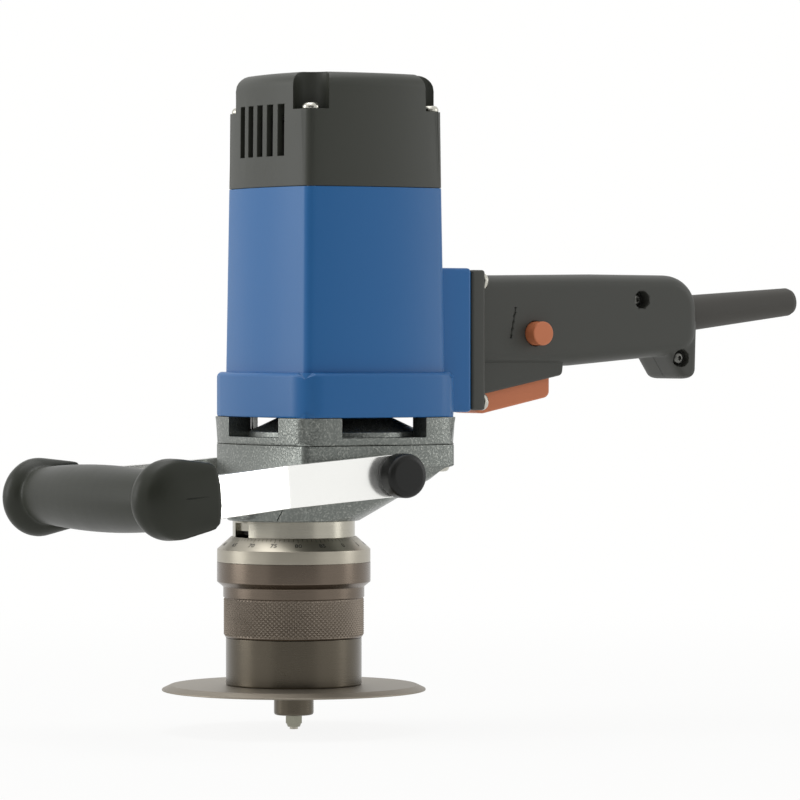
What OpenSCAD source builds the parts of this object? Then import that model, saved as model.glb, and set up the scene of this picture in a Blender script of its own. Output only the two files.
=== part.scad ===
// Hand-held edge milling machine with a depth-adjusting guide sleeve.
// The origin is the spindle axis at the underside of the base plate.
// +Z is up, +X points to the main handle. Sizes are in millimetres.

/* [Base plate] */
// Outer radius of the base plate
plate_r = 66; // [50:1:80]
// Thickness of the base plate
plate_t = 2.8; // [2.4:0.1:5]
// Width of the bevel on the rim
plate_bevel_w = 4.2; // [2:0.1:6]
// Height of the bevel on the rim
plate_bevel_h = 2; // [1:0.1:2.2]
// Radius of the hole round the cutter
plate_hole_r = 22; // [21.4:0.1:23]
// Number of screws under the plate
plate_screw_n = 4; // [3:1:6]

/* [Guide sleeve] */
// Outer radius of the visible sleeve
sleeve_r = 33.95; // [33.6:0.05:34.4]
// Height of the visible sleeve
sleeve_show_h = 23.7; // [18:0.1:30]
// Width of the step between the visible part and the part inside the ring
sleeve_step_w = 1.35; // [1:0.05:1.6]
// Thickness of the sleeve's floor
sleeve_floor_t = 5.4; // [4.6:0.1:7]
// Length of the guide key
guide_key_h = 18; // [10:1:20]

/* [Adjusting ring] */
// Radius over the knurl
knurl_r = 35.15; // [35:0.05:35.25]
// Radius of the plain land
land_r = 35.3; // [35.3:0.05:36]
// Radius of the flange
ring_flange_r = 38.4; // [38:0.1:40]
// Height of the chamfer at the foot
ring_foot_h = 1; // [0.5:0.1:2]
// Height of the knurl
knurl_h = 19; // [14:0.5:24]
// Height of the plain land
land_h = 5.5; // [4:0.5:8]
// Height of the flare under the flange
flare_h = 2.5; // [1.5:0.1:3]
// Height of the flange
ring_flange_h = 9.9; // [8:0.1:12]
// Thickness of the threaded lip on the neck
ring_lip_t = 5.4; // [4:0.1:6]

/* [Scale ring] */
// Radius of the scale ring
scale_r = 38.35; // [38:0.05:39]
// Height of its cylindrical band
scale_band_h = 6.35; // [4:0.05:8]
// Height of its cone with the graduation
scale_cone_h = 6.25; // [4:0.05:8]
// Top radius of the cone
scale_top_r = 31.4; // [31.2:0.1:33]

/* [Neck] */
// Outer radius of the neck
neck_r = 30.6; // [30.2:0.05:31]
// Bore radius of the neck
neck_bore_r = 26; // [25:0.1:27]
// Bare height of the neck above the scale ring
neck_show_h = 8.1; // [7.9:0.1:12]
// Depth of the neck below the top of the scale ring
neck_reach = 41; // [36:1:44]
// Width of the slot for the guide key
slot_w = 13; // [8:0.5:16]
// Radius of the spigot in the gear case
spigot_r = 28; // [27:0.1:29]

/* [Gear case] */
// Distance from the spindle axis to the motor axis
axis_gap = 24; // [23.5:0.1:25]
// Half width of the case at its corners
case_half = 44; // [43:0.5:48]
// Swell of each side of the case
case_bulge = 4.2; // [2:0.1:5]
// Radius of the seat on the neck
case_seat_r = 33.5; // [32:0.1:35]
// Height of the slope
case_slope_h = 27.4; // [24:0.1:34]
// Height of the upright wall
case_wall_h = 10.5; // [8:0.5:14]
// Distance of the corner screws from the motor axis
case_screw_at = 38.5; // [36:0.5:39]
// Distance of the handle pivot from the motor axis, on the main handle's side
pivot_at = 3; // [0:0.5:4]
// Height of the handle pivot above the case's foot
pivot_h = 23.2; // [20:0.1:26]
// Radius of the side bosses
boss_r = 10.5; // [9:0.5:11]
// How far the side bosses stand out from the case
boss_proud = 1; // [1:0.1:4.8]

/* [Bearing flange] */
// How far the bearing flange stands out round the gear case
flange_lip = 0.6; // [0:0.1:4]
// Height of the flange
flange_h = 13.7; // [12:0.1:18]
// Height of the sill under the windows
sill_h = 3.8; // [3:0.1:5]
// Width of an air window
window_w = 48.8; // [40:0.2:56]
// Radius of the deflector's top
cone_top_r = 28; // [26:0.5:30]
// Radius of the deflector's foot
cone_foot_r = 43; // [40:0.5:44]
// Height of the deflector's edge above the sill
cone_edge_h = 2.6; // [1:0.1:4]

/* [Motor housing] */
// Half width of the skirt at its corners
skirt_half = 44.7; // [43:0.1:48]
// Height of the skirt
skirt_h = 22.3; // [16:0.1:30]
// Half width of the body at its foot
body_half = 40.5; // [40:0.1:43]
// Narrowing of the body up to the cap
body_draft = 1.2; // [0:0.1:2]
// Height of the housing
housing_h = 114.3; // [110:0.1:130]
// Swell of each side
side_bulge = 4.7; // [3:0.1:5.5]
// Radius of the upright edges
edge_r = 3; // [1:0.5:5]
// Thickness of the housing's wall
wall = 3; // [2:0.1:3.2]

/* [Handle socket] */
// Distance of the socket face from the spindle axis
socket_x = 85.5; // [80:0.5:95]
// Half width of the socket and of the handle's flange
socket_half_w = 32; // [30:0.5:36]
// Foot of the socket above the housing's foot
socket_foot = 2; // [1:0.5:6]
// Height of the socket
socket_h = 72.6; // [70:0.2:78]

/* [Top cap] */
// Height of the cap
cap_h = 56.6; // [52:0.1:64]
// Radius of the cap's upper edge
cap_edge_r = 7; // [4:0.5:10]
// Radius of the screw notches in the corners
notch_r = 9; // [7:0.5:10]
// Depth of the screw notches from the top
notch_depth = 18.6; // [14:0.1:24]
// Distance of the cap screws from the motor axis
cap_screw_at = 34.6; // [33.5:0.1:35.5]
// Number of vent slots on a side
vent_n = 5; // [3:1:6]
// Pitch of the vent slots
vent_pitch = 9; // [8:0.5:10]
// Width of a vent slot
vent_w = 5.2; // [3:0.1:6]
// Height of a vent slot
vent_h = 24.5; // [16:0.5:26]
// Foot of the vent slots above the cap's foot
vent_foot = 15.5; // [12:0.5:18]

/* [Main handle] */
// Thickness of the handle's flange
handle_flange_t = 8.2; // [6:0.2:10]
// Length of the handle past its flange
handle_len = 143.3; // [135:0.1:165]
// Top of the grip above the socket's foot
grip_top = 70; // [69:0.1:71]
// Half width of the grip
grip_half_w = 19; // [18:0.5:22]
// Depth of the grip at its rear end
grip_depth = 45.5; // [42:0.5:50]
// Rounding of the grip's long edges
grip_round = 9.5; // [6:0.5:11]
// Depth of the hook at the end
hook_depth = 54; // [52:0.5:60]
// Length of the switch housing under the grip
switch_len = 58.3; // [52:0.5:70]
// Half width of the switch housing
switch_half_w = 16; // [14:0.5:18]
// Wall of the handle shells
shell_wall = 3.5; // [3:0.1:4.5]

/* [Switch] */
// Radius of the lock button
button_r = 6.1; // [4:0.1:7]
// Distance of the lock button from the handle's flange
button_at = 39; // [34:0.5:46]
// Height of the lock button above the socket's foot
button_h = 39.7; // [36:0.1:44]
// How far the lock button stands out
button_out = 7.3; // [5:0.1:9]
// Half width of the trigger
trigger_half_w = 12; // [8:0.5:12.5]
// Length of the trigger
trigger_len = 49; // [40:1:54]

/* [Cord sleeve] */
// Radius of the cord sleeve at the handle
cord_r0 = 9.4; // [8:0.1:11]
// Radius of the cord sleeve at its end
cord_r1 = 7.4; // [6:0.1:9]
// Length of the cord sleeve outside the handle
cord_sleeve_len = 73; // [50:1:90]
// Radius of the bore for the cord
cord_bore_r = 4.5; // [3:0.1:5]
// Upward tilt of the cord sleeve in degrees
cord_tilt = 5.4; // [0:0.1:8]
// Height of the cord sleeve above the socket's foot
cord_h = 50; // [48:0.5:54]

/* [Front handle] */
// Reach from the pivot to the grip's axis
reach = 136; // [126:1:150]
// Downward tilt of the handle in degrees
front_tilt = 4.4; // [0:0.1:10]
// Height of a strap
strap_h = 21; // [18:0.5:24]
// Thickness of a strap
strap_t = 5; // [4:0.1:6]
// Sideways step of a strap
joggle = 15; // [10:0.5:20]
// Radius of the grip at its middle
barrel_r = 16.5; // [14:0.1:18]
// Radius of the grip near its ends
barrel_end_r = 13.2; // [12:0.1:16]
// Radius of the round ends of the grip
bulb_r = 19.8; // [18:0.1:21]
// Radius of a clamp knob
knob_r = 11; // [9:0.1:13]
// Length of a clamp knob
knob_h = 10; // [8:0.5:14]
// Radius of the clamp studs
stud_r = 4; // [3:0.1:5]

/* [Motor] */
// Outer radius of the field core
field_r = 36.5; // [34:0.1:36.8]
// Height of the field core
core_h = 60; // [40:1:64]
// Radius of the armature core
armature_r = 24.5; // [20:0.1:25]
// Number of slots in the armature core
armature_slots = 12; // [8:1:16]
// Radius of the commutator
commutator_r = 13; // [11:0.1:14]
// Radius of the fan
fan_r = 35; // [30:0.5:36]
// Number of fan blades
fan_blades = 12; // [6:1:16]

/* [Gears] */
// Teeth of the pinion
pinion_z = 9; // [8:1:10]
// Teeth of the driven gear
gear_z = 39; // [37:1:41]
// Profile shift of the pinion, in modules
shift = 0.45; // [0.4:0.01:0.5]
// Thinning of each tooth flank
backlash = 0.06; // [0.04:0.01:0.1]
// Width of the driven gear
gear_w = 12; // [10:0.5:13]

/* [Cutter] */
// Small radius of the cutter
cutter_r0 = 10; // [9.5:0.1:11]
// Height of the 45 degree cutter
cutter_h = 11; // [9:0.1:11.3]
// Depth of the cutter's foot below the base plate
cutter_foot = 3; // [2:0.1:5]
// Number of inserts
insert_n = 4; // [2:1:4]
// Radius of the guide roller
roller_r = 9.95; // [8.5:0.05:12]
// Height of the guide roller
roller_h = 9.1; // [7:0.1:12]

/* [Hidden] */
$fn = 64;

// Clearances
run_gap = 0.08;
part_gap = 0.3;

// Length of a cut that goes right through a piece
through = 100;

// Levels, from the base plate up
z_shoulder = plate_t + sleeve_show_h;
z_knurl = z_shoulder + ring_foot_h;
z_land = z_knurl + knurl_h;
z_flare = z_land + land_h;
z_ring_flange = z_flare + flare_h;
z_scale = z_ring_flange + ring_flange_h;
z_scale_cone = z_scale + scale_band_h;
z_scale_top = z_scale_cone + scale_cone_h;
z_case = z_scale_top + neck_show_h;
flange_half = case_half + flange_lip;
z_case_wall = z_case + case_slope_h;
z_flange = z_case_wall + case_wall_h;
z_sill = z_flange + sill_h;
z_housing = z_flange + flange_h;
z_body = z_housing + skirt_h;
z_cap = z_housing + housing_h;
z_top = z_cap + cap_h;
z_socket = z_housing + socket_foot;
z_pivot = z_case + pivot_h;
x_pivot = axis_gap + pivot_at;
z_neck_foot = z_scale_top - neck_reach;

// Bearings: inner radius, outer radius, width, ball radius, number of balls
spindle_bearing = [10, 23.5, 14, 4, 9];
lower_bearing = [6, 14, 8, 2.4, 8];
upper_bearing = [4, 11, 7, 1.98, 7];
z_spindle_bearing = z_case + 0.9;
z_bearing_top = z_spindle_bearing + spindle_bearing[2];
z_cavity = z_bearing_top + 3;
z_gear = z_cavity + 2;
z_gear_top = z_gear + gear_w;
z_lower_bearing = z_flange + 2;
z_lower_top = z_lower_bearing + lower_bearing[2];
z_fan = z_lower_top + 6;
fan_h = 14;
z_core = z_cap - 16 - core_h;
z_commutator = z_cap + 4;
commutator_h = 20;
z_brush = z_commutator + commutator_h / 2 + 1;
z_upper_bearing = z_commutator + commutator_h + 8;
z_upper_top = z_upper_bearing + upper_bearing[2];

// Gears
gear_m = 2 * axis_gap / (pinion_z + gear_z);
gear_tip_r = gear_m * (gear_z / 2 + 1 - shift);
cavity_r = gear_tip_r + 0.8;

// Spindle
journal_r = 12;
seal_w = 6;
gear_seat_r = 9;
bush_wall = 2;
spindle_tip_r = 5;
cutter_top_r = cutter_r0 + cutter_h;
z_cutter = -cutter_foot;
z_cutter_top = z_cutter + cutter_h;
cutter_bore_r = 6;
collar_r = 14;
pilot_r = 3.5;
bush_r = 5;
z_roller = z_cutter - part_gap - roller_h;
z_nut = z_roller - part_gap;
nut_stud_r = 2.1;
nut_hex_h = 3.8;
nut_dome_h = 1.8;
stud_end = 1.2;

// Handle levels
x_flange = socket_x;
x_grip = x_flange + handle_flange_t;
x_end = x_grip + handle_len;
z_grip_top = z_socket + grip_top;
z_grip_rear = z_grip_top - grip_depth + 3;
z_grip_front = z_grip_top - grip_depth - 1.5;
z_hook = z_grip_top - hook_depth;
z_button = z_socket + button_h;
x_button = x_grip + button_at;
z_cord = z_socket + cord_h;
z_switch_low = z_socket + 7;
z_switch_end = z_grip_front - 6;
x_switch_end = x_grip + switch_len;
trigger_show = 8.7;
x_trigger_end = x_grip + trigger_len + 3.4;
trigger_room = 1.2;
x_trigger_pivot = x_grip + 8;
z_trigger_pivot = z_switch_low + 9;
pin_r = 1.5;
x_lower_screw = x_end - 11.2;
z_lower_screw = z_hook + 10.8;
x_upper_screw = x_end - 38.1;
z_upper_screw = z_grip_top - 12.8;
recess_r = 4.8;
flange_screw_y = socket_half_w - 5;
flange_screw_z = [5.2, socket_h - 6.6];

// Screws: shank radius, head radius, head height
m4 = [2, 3.5, 2.6];
m5 = [2.5, 4.4, 3.2];

// Front handle, in its own untilted frame with the pivot at the origin
boss_face = case_half + case_bulge + boss_proud;
strap_in = boss_face + part_gap;
strap_out = strap_in + strap_t;
strap_wide = strap_in + joggle;
grip_y = strap_wide + strap_t - 2;
snout_x = -(reach - 21);
x_joggle0 = -62;
x_joggle1 = snout_x + 3;

function unit(v) = v / norm(v);
function outward(a, b) = let (d = unit(b - a)) [d[1], -d[0]];
function turn_of(n1, n2) = atan2(n1[0] * n2[1] - n1[1] * n2[0], n1 * n2);

// Points of one corner, drawn in by e and rounded with radius r, as m + 1 points.
function corner(b, n1, n2, r, e, m) =
    let (turn = turn_of(n1, n2), s = turn < 0 ? -1 : 1, a1 = atan2(n1[1], n1[0]),
        k = 1 + n1 * n2, rr = s > 0 ? max(r - e, 1) : r + e,
        c = b - (n1 + n2) * e / k - s * (n1 + n2) * rr / k)
    [for (i = [0:m]) let (a = a1 + turn * i / m) c + s * rr * [cos(a), sin(a)]];

// A counterclockwise outline of [x, y, radius] corners, drawn in by e.
function outline(p, e = 0, m = 4) = let (n = len(p)) [
    for (i = [0:n - 1])
        let (a = p[(i + n - 1) % n], b = p[i], c = p[(i + 1) % n],
            pa = [a[0], a[1]], pb = [b[0], b[1]], pc = [c[0], c[1]],
            n1 = outward(pa, pb), n2 = outward(pb, pc))
        each b[2] > 0 ? corner(pb, n1, n2, b[2], e, m)
            : [pb - (n1 + n2) * e / (1 + n1 * n2)]];

// A square with half width h, swelling by b at the middle of each side.
function bowed(h, b, r, n = 10) = [
    for (q = [0:3], i = [0:n - 1])
        let (t = -1 + 2 * i / n, x = h + b * (1 - t * t), y = h * t, a = 90 * q)
        [x * cos(a) - y * sin(a), x * sin(a) + y * cos(a), i == 0 ? r : 0]];

// A solid through copies of one outline, each [height, draw-in].
module loft(p, layers, m = 4) {
    rings = [for (l = layers) outline(p, l[1], m)];
    n = len(rings[0]);
    last = len(layers) - 1;
    points = [for (j = [0:last], q = rings[j]) [q[0], q[1], layers[j][0]]];
    sides = [for (j = [0:last - 1], i = [0:n - 1]) let (k = (i + 1) % n)
        each [[j * n + i, (j + 1) * n + i, (j + 1) * n + k], [j * n + i, (j + 1) * n + k, j * n + k]]];
    polyhedron(points, concat([[for (i = [0:n - 1]) i]], sides,
        [[for (i = [n - 1:-1:0]) last * n + i]]));
}

// A loft along Y from an outline in the XZ plane.
module side_loft(p, layers, m = 4) {
    multmatrix([[1, 0, 0, 0], [0, 0, -1, 0], [0, 1, 0, 0], [0, 0, 0, 1]]) loft(p, layers, m);
}

module along_motor() translate([axis_gap, 0, 0]) children();
module at_corners(d) for (sx = [-1, 1], sy = [-1, 1]) translate([sx * d, sy * d, 0]) children();
module tube(r0, r1, h) difference() {
    cylinder(r = r1, h = h);
    translate([0, 0, -1]) cylinder(r = r0, h = h + 2);
}
module turned(points) rotate_extrude() polygon(points);
module bowed_slab(h, b, r, t) linear_extrude(t) polygon(outline(bowed(h, b, r)));

// A screw whose head stands on z = 0, with its shank downwards and a cross recess.
module screw(size, shank) difference() {
    turned([[0, -shank], [size[0], -shank], [size[0], 0], [size[1], 0],
        [size[1], size[2] * 0.6], [size[1] * 0.75, size[2]], [0, size[2]]]);
    for (a = [0, 90]) rotate([0, 0, a]) translate([-size[0], -0.45, size[2] - 1.2])
        cube([2 * size[0], 0.9, 2]);
}

// Half section of a bearing ring with its ball groove.
module ring_outer(b) difference() {
    tube((b[0] + b[1]) / 2 + b[3] * 0.45, b[1], b[2]);
    translate([0, 0, b[2] / 2]) rotate_extrude() translate([(b[0] + b[1]) / 2, 0])
        circle(r = b[3] + run_gap, $fn = 32);
}
module ring_inner(b) {
    difference() {
        tube(b[0], (b[0] + b[1]) / 2 - b[3] * 0.45, b[2]);
        translate([0, 0, b[2] / 2]) rotate_extrude() translate([(b[0] + b[1]) / 2, 0])
            circle(r = b[3] + run_gap / 2, $fn = 32);
    }
    for (i = [0:b[4] - 1]) rotate([0, 0, i * 360 / b[4]])
        translate([(b[0] + b[1]) / 2, 0, b[2] / 2]) sphere(r = b[3], $fn = 32);
}

// Involute gear outline, thinned by the backlash, with a tooth on +X.
function involute(rb, r) = let (t = sqrt(max(0, (r / rb) * (r / rb) - 1))) t * 180 / PI - atan(t);
function gear_points(z, x, m) =
    let (rp = m * z / 2, rb = rp * cos(20), ra = m * (z / 2 + 1 + x), rf = m * (z / 2 - 1.25 + x),
        half = 90 / z + 2 * x * tan(20) * 180 / PI / z - backlash / rp * 180 / PI,
        r0 = max(rb, rf), base = half + involute(rb, rp), step = 360 / z, tip = ra - 0.1)
    [for (i = [0:z - 1]) let (c = i * step)
        each concat(
            [[rf, c - min(base, step / 2 - 0.8)]],
            [for (k = [0:5]) let (r = r0 + (tip - r0) * k / 5) [r, c - base + involute(rb, r)]],
            [for (k = [5:-1:0]) let (r = r0 + (tip - r0) * k / 5) [r, c + base - involute(rb, r)]],
            [[rf, c + min(base, step / 2 - 0.8)]])];
module gear_profile(z, x, m)
    polygon([for (p = gear_points(z, x, m)) p[0] * [cos(p[1]), sin(p[1])]]);

// Base plate: a turned disc with a bevelled rim and countersunk holes.
plate_screw_r = (plate_hole_r + sleeve_r) / 2 + 0.3;
countersink_h = 2;
module plate_screw_places() for (i = [0:plate_screw_n - 1])
    rotate([0, 0, 45 + i * 360 / plate_screw_n]) translate([plate_screw_r, 0, 0]) children();
module countersunk(shank) turned([[0, 0], [m4[1], 0], [m4[0], countersink_h], [m4[0], shank], [0, shank]]);

module base_plate() color([0.33, 0.27, 0.24]) difference() {
    turned([[plate_hole_r, 0], [plate_r, 0], [plate_r, plate_t - plate_bevel_h],
        [plate_r - plate_bevel_w, plate_t], [plate_hole_r, plate_t]]);
    plate_screw_places() countersunk(plate_t + 1);
}
module plate_screws() color("dimgray") plate_screw_places() difference() {
    countersunk(plate_t + sleeve_floor_t - 1);
    for (a = [0, 90]) rotate([0, 0, a]) translate([-2, -0.4, -1]) cube([4, 0.8, 2]);
}

// Guide sleeve: slides on the neck, is kept from turning by the key.
sleeve_bore_r = neck_r + run_gap;
sleeve_step_r = sleeve_r - sleeve_step_w;
wire_r = 0.9;
wire_drop = 3;
z_lip = z_scale - ring_lip_t;
z_sleeve_top = z_lip - part_gap;
z_wire = z_sleeve_top - wire_drop;
z_key = z_shoulder + 6;
module guide_sleeve() color([0.3, 0.26, 0.23]) difference() {
    turned([[plate_hole_r + 0.4, plate_t], [sleeve_r, plate_t], [sleeve_r, z_shoulder],
        [sleeve_step_r, z_shoulder], [sleeve_step_r, z_sleeve_top],
        [sleeve_bore_r, z_sleeve_top], [sleeve_bore_r, plate_t + sleeve_floor_t],
        [plate_hole_r + 0.4, plate_t + sleeve_floor_t]]);
    translate([0, 0, z_wire]) rotate_extrude() translate([sleeve_step_r, 0]) circle(r = wire_r, $fn = 24);
    plate_screw_places() cylinder(r = m4[0], h = plate_t + sleeve_floor_t - 1);
    key_block(0);
}
key_gap = 0.1;
key_in = 2.2;
module key_block(d) translate([-sleeve_bore_r - 1, -slot_w / 2 + key_gap - d, z_key])
    cube([sleeve_bore_r + 1 - neck_bore_r - key_in, slot_w - 2 * key_gap + 2 * d, guide_key_h]);
module guide_key() color("dimgray") key_block(0);
module retaining_wire() color("silver") translate([0, 0, z_wire]) rotate_extrude()
    translate([sleeve_step_r, 0]) circle(r = wire_r - 0.02, $fn = 24);

// Adjusting ring: turns on the sleeve and runs on the neck's thread.
wire_room_r = sleeve_step_r + wire_r + part_gap;
module adjusting_ring() color([0.34, 0.29, 0.26]) turned([
    [sleeve_step_r + run_gap, z_shoulder + part_gap / 3], [sleeve_r, z_shoulder + part_gap / 3],
    [knurl_r, z_knurl], [knurl_r, z_land], [land_r, z_land], [land_r, z_flare],
    [ring_flange_r, z_ring_flange], [ring_flange_r, z_scale], [neck_r + run_gap, z_scale],
    [neck_r + run_gap, z_lip], [wire_room_r, z_lip], [wire_room_r, z_wire - wire_r - 0.1],
    [sleeve_step_r + run_gap, z_wire - wire_r - 0.1]]);

// Scale ring: steel, with graduation marks cut into the cone.
tick_n = 90;
tick_w = 0.35;
module scale_ring() color("silver") difference() {
    turned([[neck_r + part_gap, z_scale], [scale_r, z_scale], [scale_r, z_scale_cone],
        [scale_top_r, z_scale_top], [neck_r + part_gap, z_scale_top]]);
    for (i = [0:tick_n - 1]) rotate([0, 0, i * 360 / tick_n])
        translate([scale_top_r - 0.2, -tick_w / 2, z_scale_top - (i % 5 == 0 ? 2.2 : 1.4)])
            cube([3, tick_w, 3]);
}

// Neck: steel tube fixed in the gear case, slotted for the key, with the bearing seat on top.
lip_h = 2;
seal_r = neck_bore_r;
module neck_tube() color("lightgray") difference() {
    turned([[neck_bore_r, z_neck_foot], [neck_r, z_neck_foot], [neck_r, z_case],
        [spigot_r, z_case], [spigot_r, z_bearing_top], [spindle_bearing[1], z_bearing_top],
        [spindle_bearing[1], z_spindle_bearing], [spindle_bearing[1] - 2, z_spindle_bearing],
        [spindle_bearing[1] - 2, z_spindle_bearing - lip_h], [neck_bore_r, z_spindle_bearing - lip_h]]);
    translate([-neck_r - 2, -slot_w / 2, z_neck_foot - 1])
        cube([neck_r + 2 - neck_bore_r + 1.2, slot_w, z_case - 0.9 - z_neck_foot + 1 - 4]);
    translate([-neck_r - 2, -slot_w / 2, z_scale_top + 0.5])
        cube([2 + 2.4, slot_w, neck_show_h - 1.4]);
}

// Gear case: cast, square under the flange and drawn in to the neck.
head_room_r = 7;
module gear_case() color("gray") difference() {
    union() {
        hull() {
            along_motor() translate([0, 0, z_case_wall]) bowed_slab(case_half, case_bulge, edge_r, 0.1);
            translate([0, 0, z_case]) cylinder(r = case_seat_r, h = 1);
        }
        along_motor() translate([0, 0, z_case_wall + 0.05])
            bowed_slab(case_half, case_bulge, edge_r, case_wall_h - 0.05);
        translate([x_pivot, boss_face, z_pivot]) rotate([90, 0, 0]) cylinder(r = boss_r, h = 2 * boss_face);
    }
    translate([0, 0, z_case - 1]) cylinder(r = spigot_r, h = z_bearing_top - z_case + 1);
    translate([0, 0, z_case]) cylinder(r = cavity_r, h = 100);
    along_motor() translate([0, 0, z_cavity]) cylinder(r = 9, h = 100);
    along_motor() at_corners(case_screw_at) translate([0, 0, z_case - 5]) {
        cylinder(r = head_room_r, h = z_case_wall - z_case + 5);
        cylinder(r = m5[0], h = 100);
    }
    for (s = [-1, 1]) translate([x_pivot, s * (boss_face + 1), z_pivot]) rotate([s * 90, 0, 0])
        cylinder(r = stud_r + run_gap, h = stud_in + 2);
}
stud_in = 16;
z_case_screw_top = z_housing + 12;
module gear_case_screws() color("silver") along_motor() at_corners(case_screw_at)
    translate([0, 0, z_case_wall]) rotate([180, 0, 0]) screw(m5, z_case_screw_top - z_case_wall);

// Bearing flange: cast, with four air windows and a deflector round the shaft.
module bearing_flange() color("gray") difference() {
    union() {
        along_motor() translate([0, 0, z_flange]) difference() {
            bowed_slab(flange_half, case_bulge, edge_r, flange_h);
            for (a = [0, 90]) rotate([0, 0, a]) translate([-100, -window_w / 2, sill_h])
                cube([200, window_w, flange_h]);
            translate([0, 0, sill_h]) cylinder(r = cone_foot_r - 0.5, h = flange_h);
        }
        along_motor() turned([[0, z_sill - 1], [cone_foot_r, z_sill - 1],
            [cone_foot_r, z_sill + cone_edge_h], [cone_top_r, z_housing], [0, z_housing]]);
    }
    along_motor() {
        translate([0, 0, z_lower_bearing]) cylinder(r = lower_bearing[1], h = 50);
        translate([0, 0, z_flange - 1]) cylinder(r = lower_bearing[0] + 3, h = 50);
    }
    along_motor() at_corners(case_screw_at) translate([0, 0, z_flange - 1]) cylinder(r = m5[0], h = 50);
    translate([0, 0, z_flange - 1]) cylinder(r = spindle_tip_r + bush_wall, h = bush_h + 1);
}
bush_h = 11;

// Motor housing: moulded shell with the socket block for the handle.
housing_boss_r = 6;
rib_w = 8;
ledge_h = 4;
ledge_r = 33.5;

// Passage for the leads between the housing and the handle
passage_w = 40;
passage_foot = 14;
flange_hole_l = 14;
module housing_outline(e, t) bowed_slab(body_half - e, side_bulge, edge_r, t);
module motor_housing() color([0.16, 0.36, 0.62]) difference() {
    union() {
        along_motor() loft(bowed(skirt_half, side_bulge, edge_r),
            [[z_housing, 1], [z_housing + 1.2, 0], [z_body - 1.5, 0.4], [z_body, 1.8]]);
        along_motor() loft(bowed(body_half, side_bulge, edge_r), [[z_body - 2, 0], [z_cap, body_draft]]);
        translate([socket_x, 0, z_socket]) rotate([90, 0, -90])
            loft([[-socket_half_w, 0, 2.5], [socket_half_w, 0, 2.5],
                [socket_half_w, socket_h, 2.5], [-socket_half_w, socket_h, 2.5]],
                [[0, 1], [1, 0], [socket_x - axis_gap - body_half + 6, 0]]);
    }
    difference() {
        along_motor() loft(bowed(body_half, side_bulge, edge_r),
            [[z_housing - 1, wall - 0.3], [z_cap - ledge_h, wall + body_draft]]);
        along_motor() at_corners(case_screw_at) translate([0, 0, z_housing - 2])
            cylinder(r = housing_boss_r, h = z_case_screw_top - z_housing + 4);
        along_motor() at_corners(cap_screw_at) translate([0, 0, z_cap - 22]) cylinder(r = 5.5, h = 30);
        along_motor() for (a = [0:90:270]) rotate([0, 0, a])
            translate([field_r + 0.02, -rib_w / 2, z_core - 2])
            cube([20, rib_w, core_h + 2]);
    }
    along_motor() translate([0, 0, z_cap - ledge_h - 1]) cylinder(r = ledge_r, h = 10);
    along_motor() at_corners(case_screw_at) translate([0, 0, z_housing - 1])
        cylinder(r = m5[0], h = z_case_screw_top - z_housing + 1);
    along_motor() at_corners(cap_screw_at) translate([0, 0, z_cap - 14]) cylinder(r = m5[0], h = 30);
    along_motor() bridge_screw_places() translate([0, 0, z_cap - 4.5]) cylinder(r = m4[0], h = 10);
    translate([axis_gap + body_half - 8, -passage_w / 2, z_socket + passage_foot])
        cube([through, passage_w, passage_w]);
    flange_screw_places() translate([0, 0, -flange_hole_l - handle_flange_t])
        cylinder(r = m5[0], h = flange_hole_l + handle_flange_t);
}
module bridge_screw_places() for (a = [0:90:270]) rotate([0, 0, a]) translate([ledge_r + 2.6, 0, 0])
    children();
module flange_screw_places() for (sy = [-1, 1], z = flange_screw_z)
    translate([x_grip, sy * flange_screw_y, z_socket + z]) rotate([0, 90, 0]) children();

// Top cap: moulded, with vent slots and a notch for a screw in each corner.
cap_wall = 3;
cap_half = body_half - body_draft;
cap_draft = 0.5;
z_notch = z_top - notch_depth;
module top_cap() color([0.17, 0.17, 0.16]) along_motor() difference() {
    loft(bowed(cap_half, side_bulge, edge_r), concat([[z_cap, 0]],
        [for (a = [0:22.5:90]) [z_top - cap_edge_r + cap_edge_r * sin(a),
            cap_draft + cap_edge_r * (1 - cos(a))]]));
    difference() {
        loft(bowed(cap_half, side_bulge, edge_r), concat([[z_cap - 1, cap_wall]],
            [for (a = [0:30:90]) [z_top - cap_edge_r + (cap_edge_r - cap_wall) * sin(a),
                cap_draft + cap_wall + (cap_edge_r - cap_wall) * (1 - cos(a))]]));
        at_corners(cap_screw_at) translate([0, 0, z_cap + 1]) cylinder(r = notch_r + 2.2, h = cap_h);
    }
    at_corners(cap_screw_at) {
        translate([0, 0, z_notch]) cylinder(r = notch_r, h = notch_depth + 1);
        translate([0, 0, z_cap - 1]) cylinder(r = m5[0], h = cap_h);
    }
    for (s = [-1, 1], i = [0:vent_n - 1])
        translate([s * (cap_half + 2) - 8, (i - (vent_n - 1) / 2) * vent_pitch - vent_w / 2,
            z_cap + vent_foot])
            cube([16, vent_w, vent_h]);
}
module cap_screws() color("silver") along_motor() at_corners(cap_screw_at)
    translate([0, 0, z_notch]) screw(m5, z_notch - z_cap + 12);

// Main handle: two shells that meet at the middle plane.
corner_r = 18;
grip_outline = [
    [x_flange - 10, z_grip_front, 0], [x_switch_end + 6, z_grip_front, 0], [x_end - 1.5,
        z_grip_rear + 1.8, 0],
    [x_end, z_cord - 4, 0], [x_end, z_grip_top, corner_r], [x_flange - 10, z_grip_top - 0.5, 0]];
hook_outline = [
    [x_end - 10.5, z_hook, 4.5], [x_end - 1, z_hook, 6], [x_end, z_cord - 4, 0], [x_end - 12, z_cord + 3, 0],
    [x_end - 36, z_cord + 3, 0]];
hook_soft = 0.45;
switch_outline = [
    [x_grip - 2, z_switch_low, 0], [x_grip + 10, z_switch_low + 0.6, 3], [x_switch_end, z_switch_end, 2.5],
    [x_switch_end, z_grip_front + 4, 1.5], [x_grip - 2, z_grip_front + 8, 0]];
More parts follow.
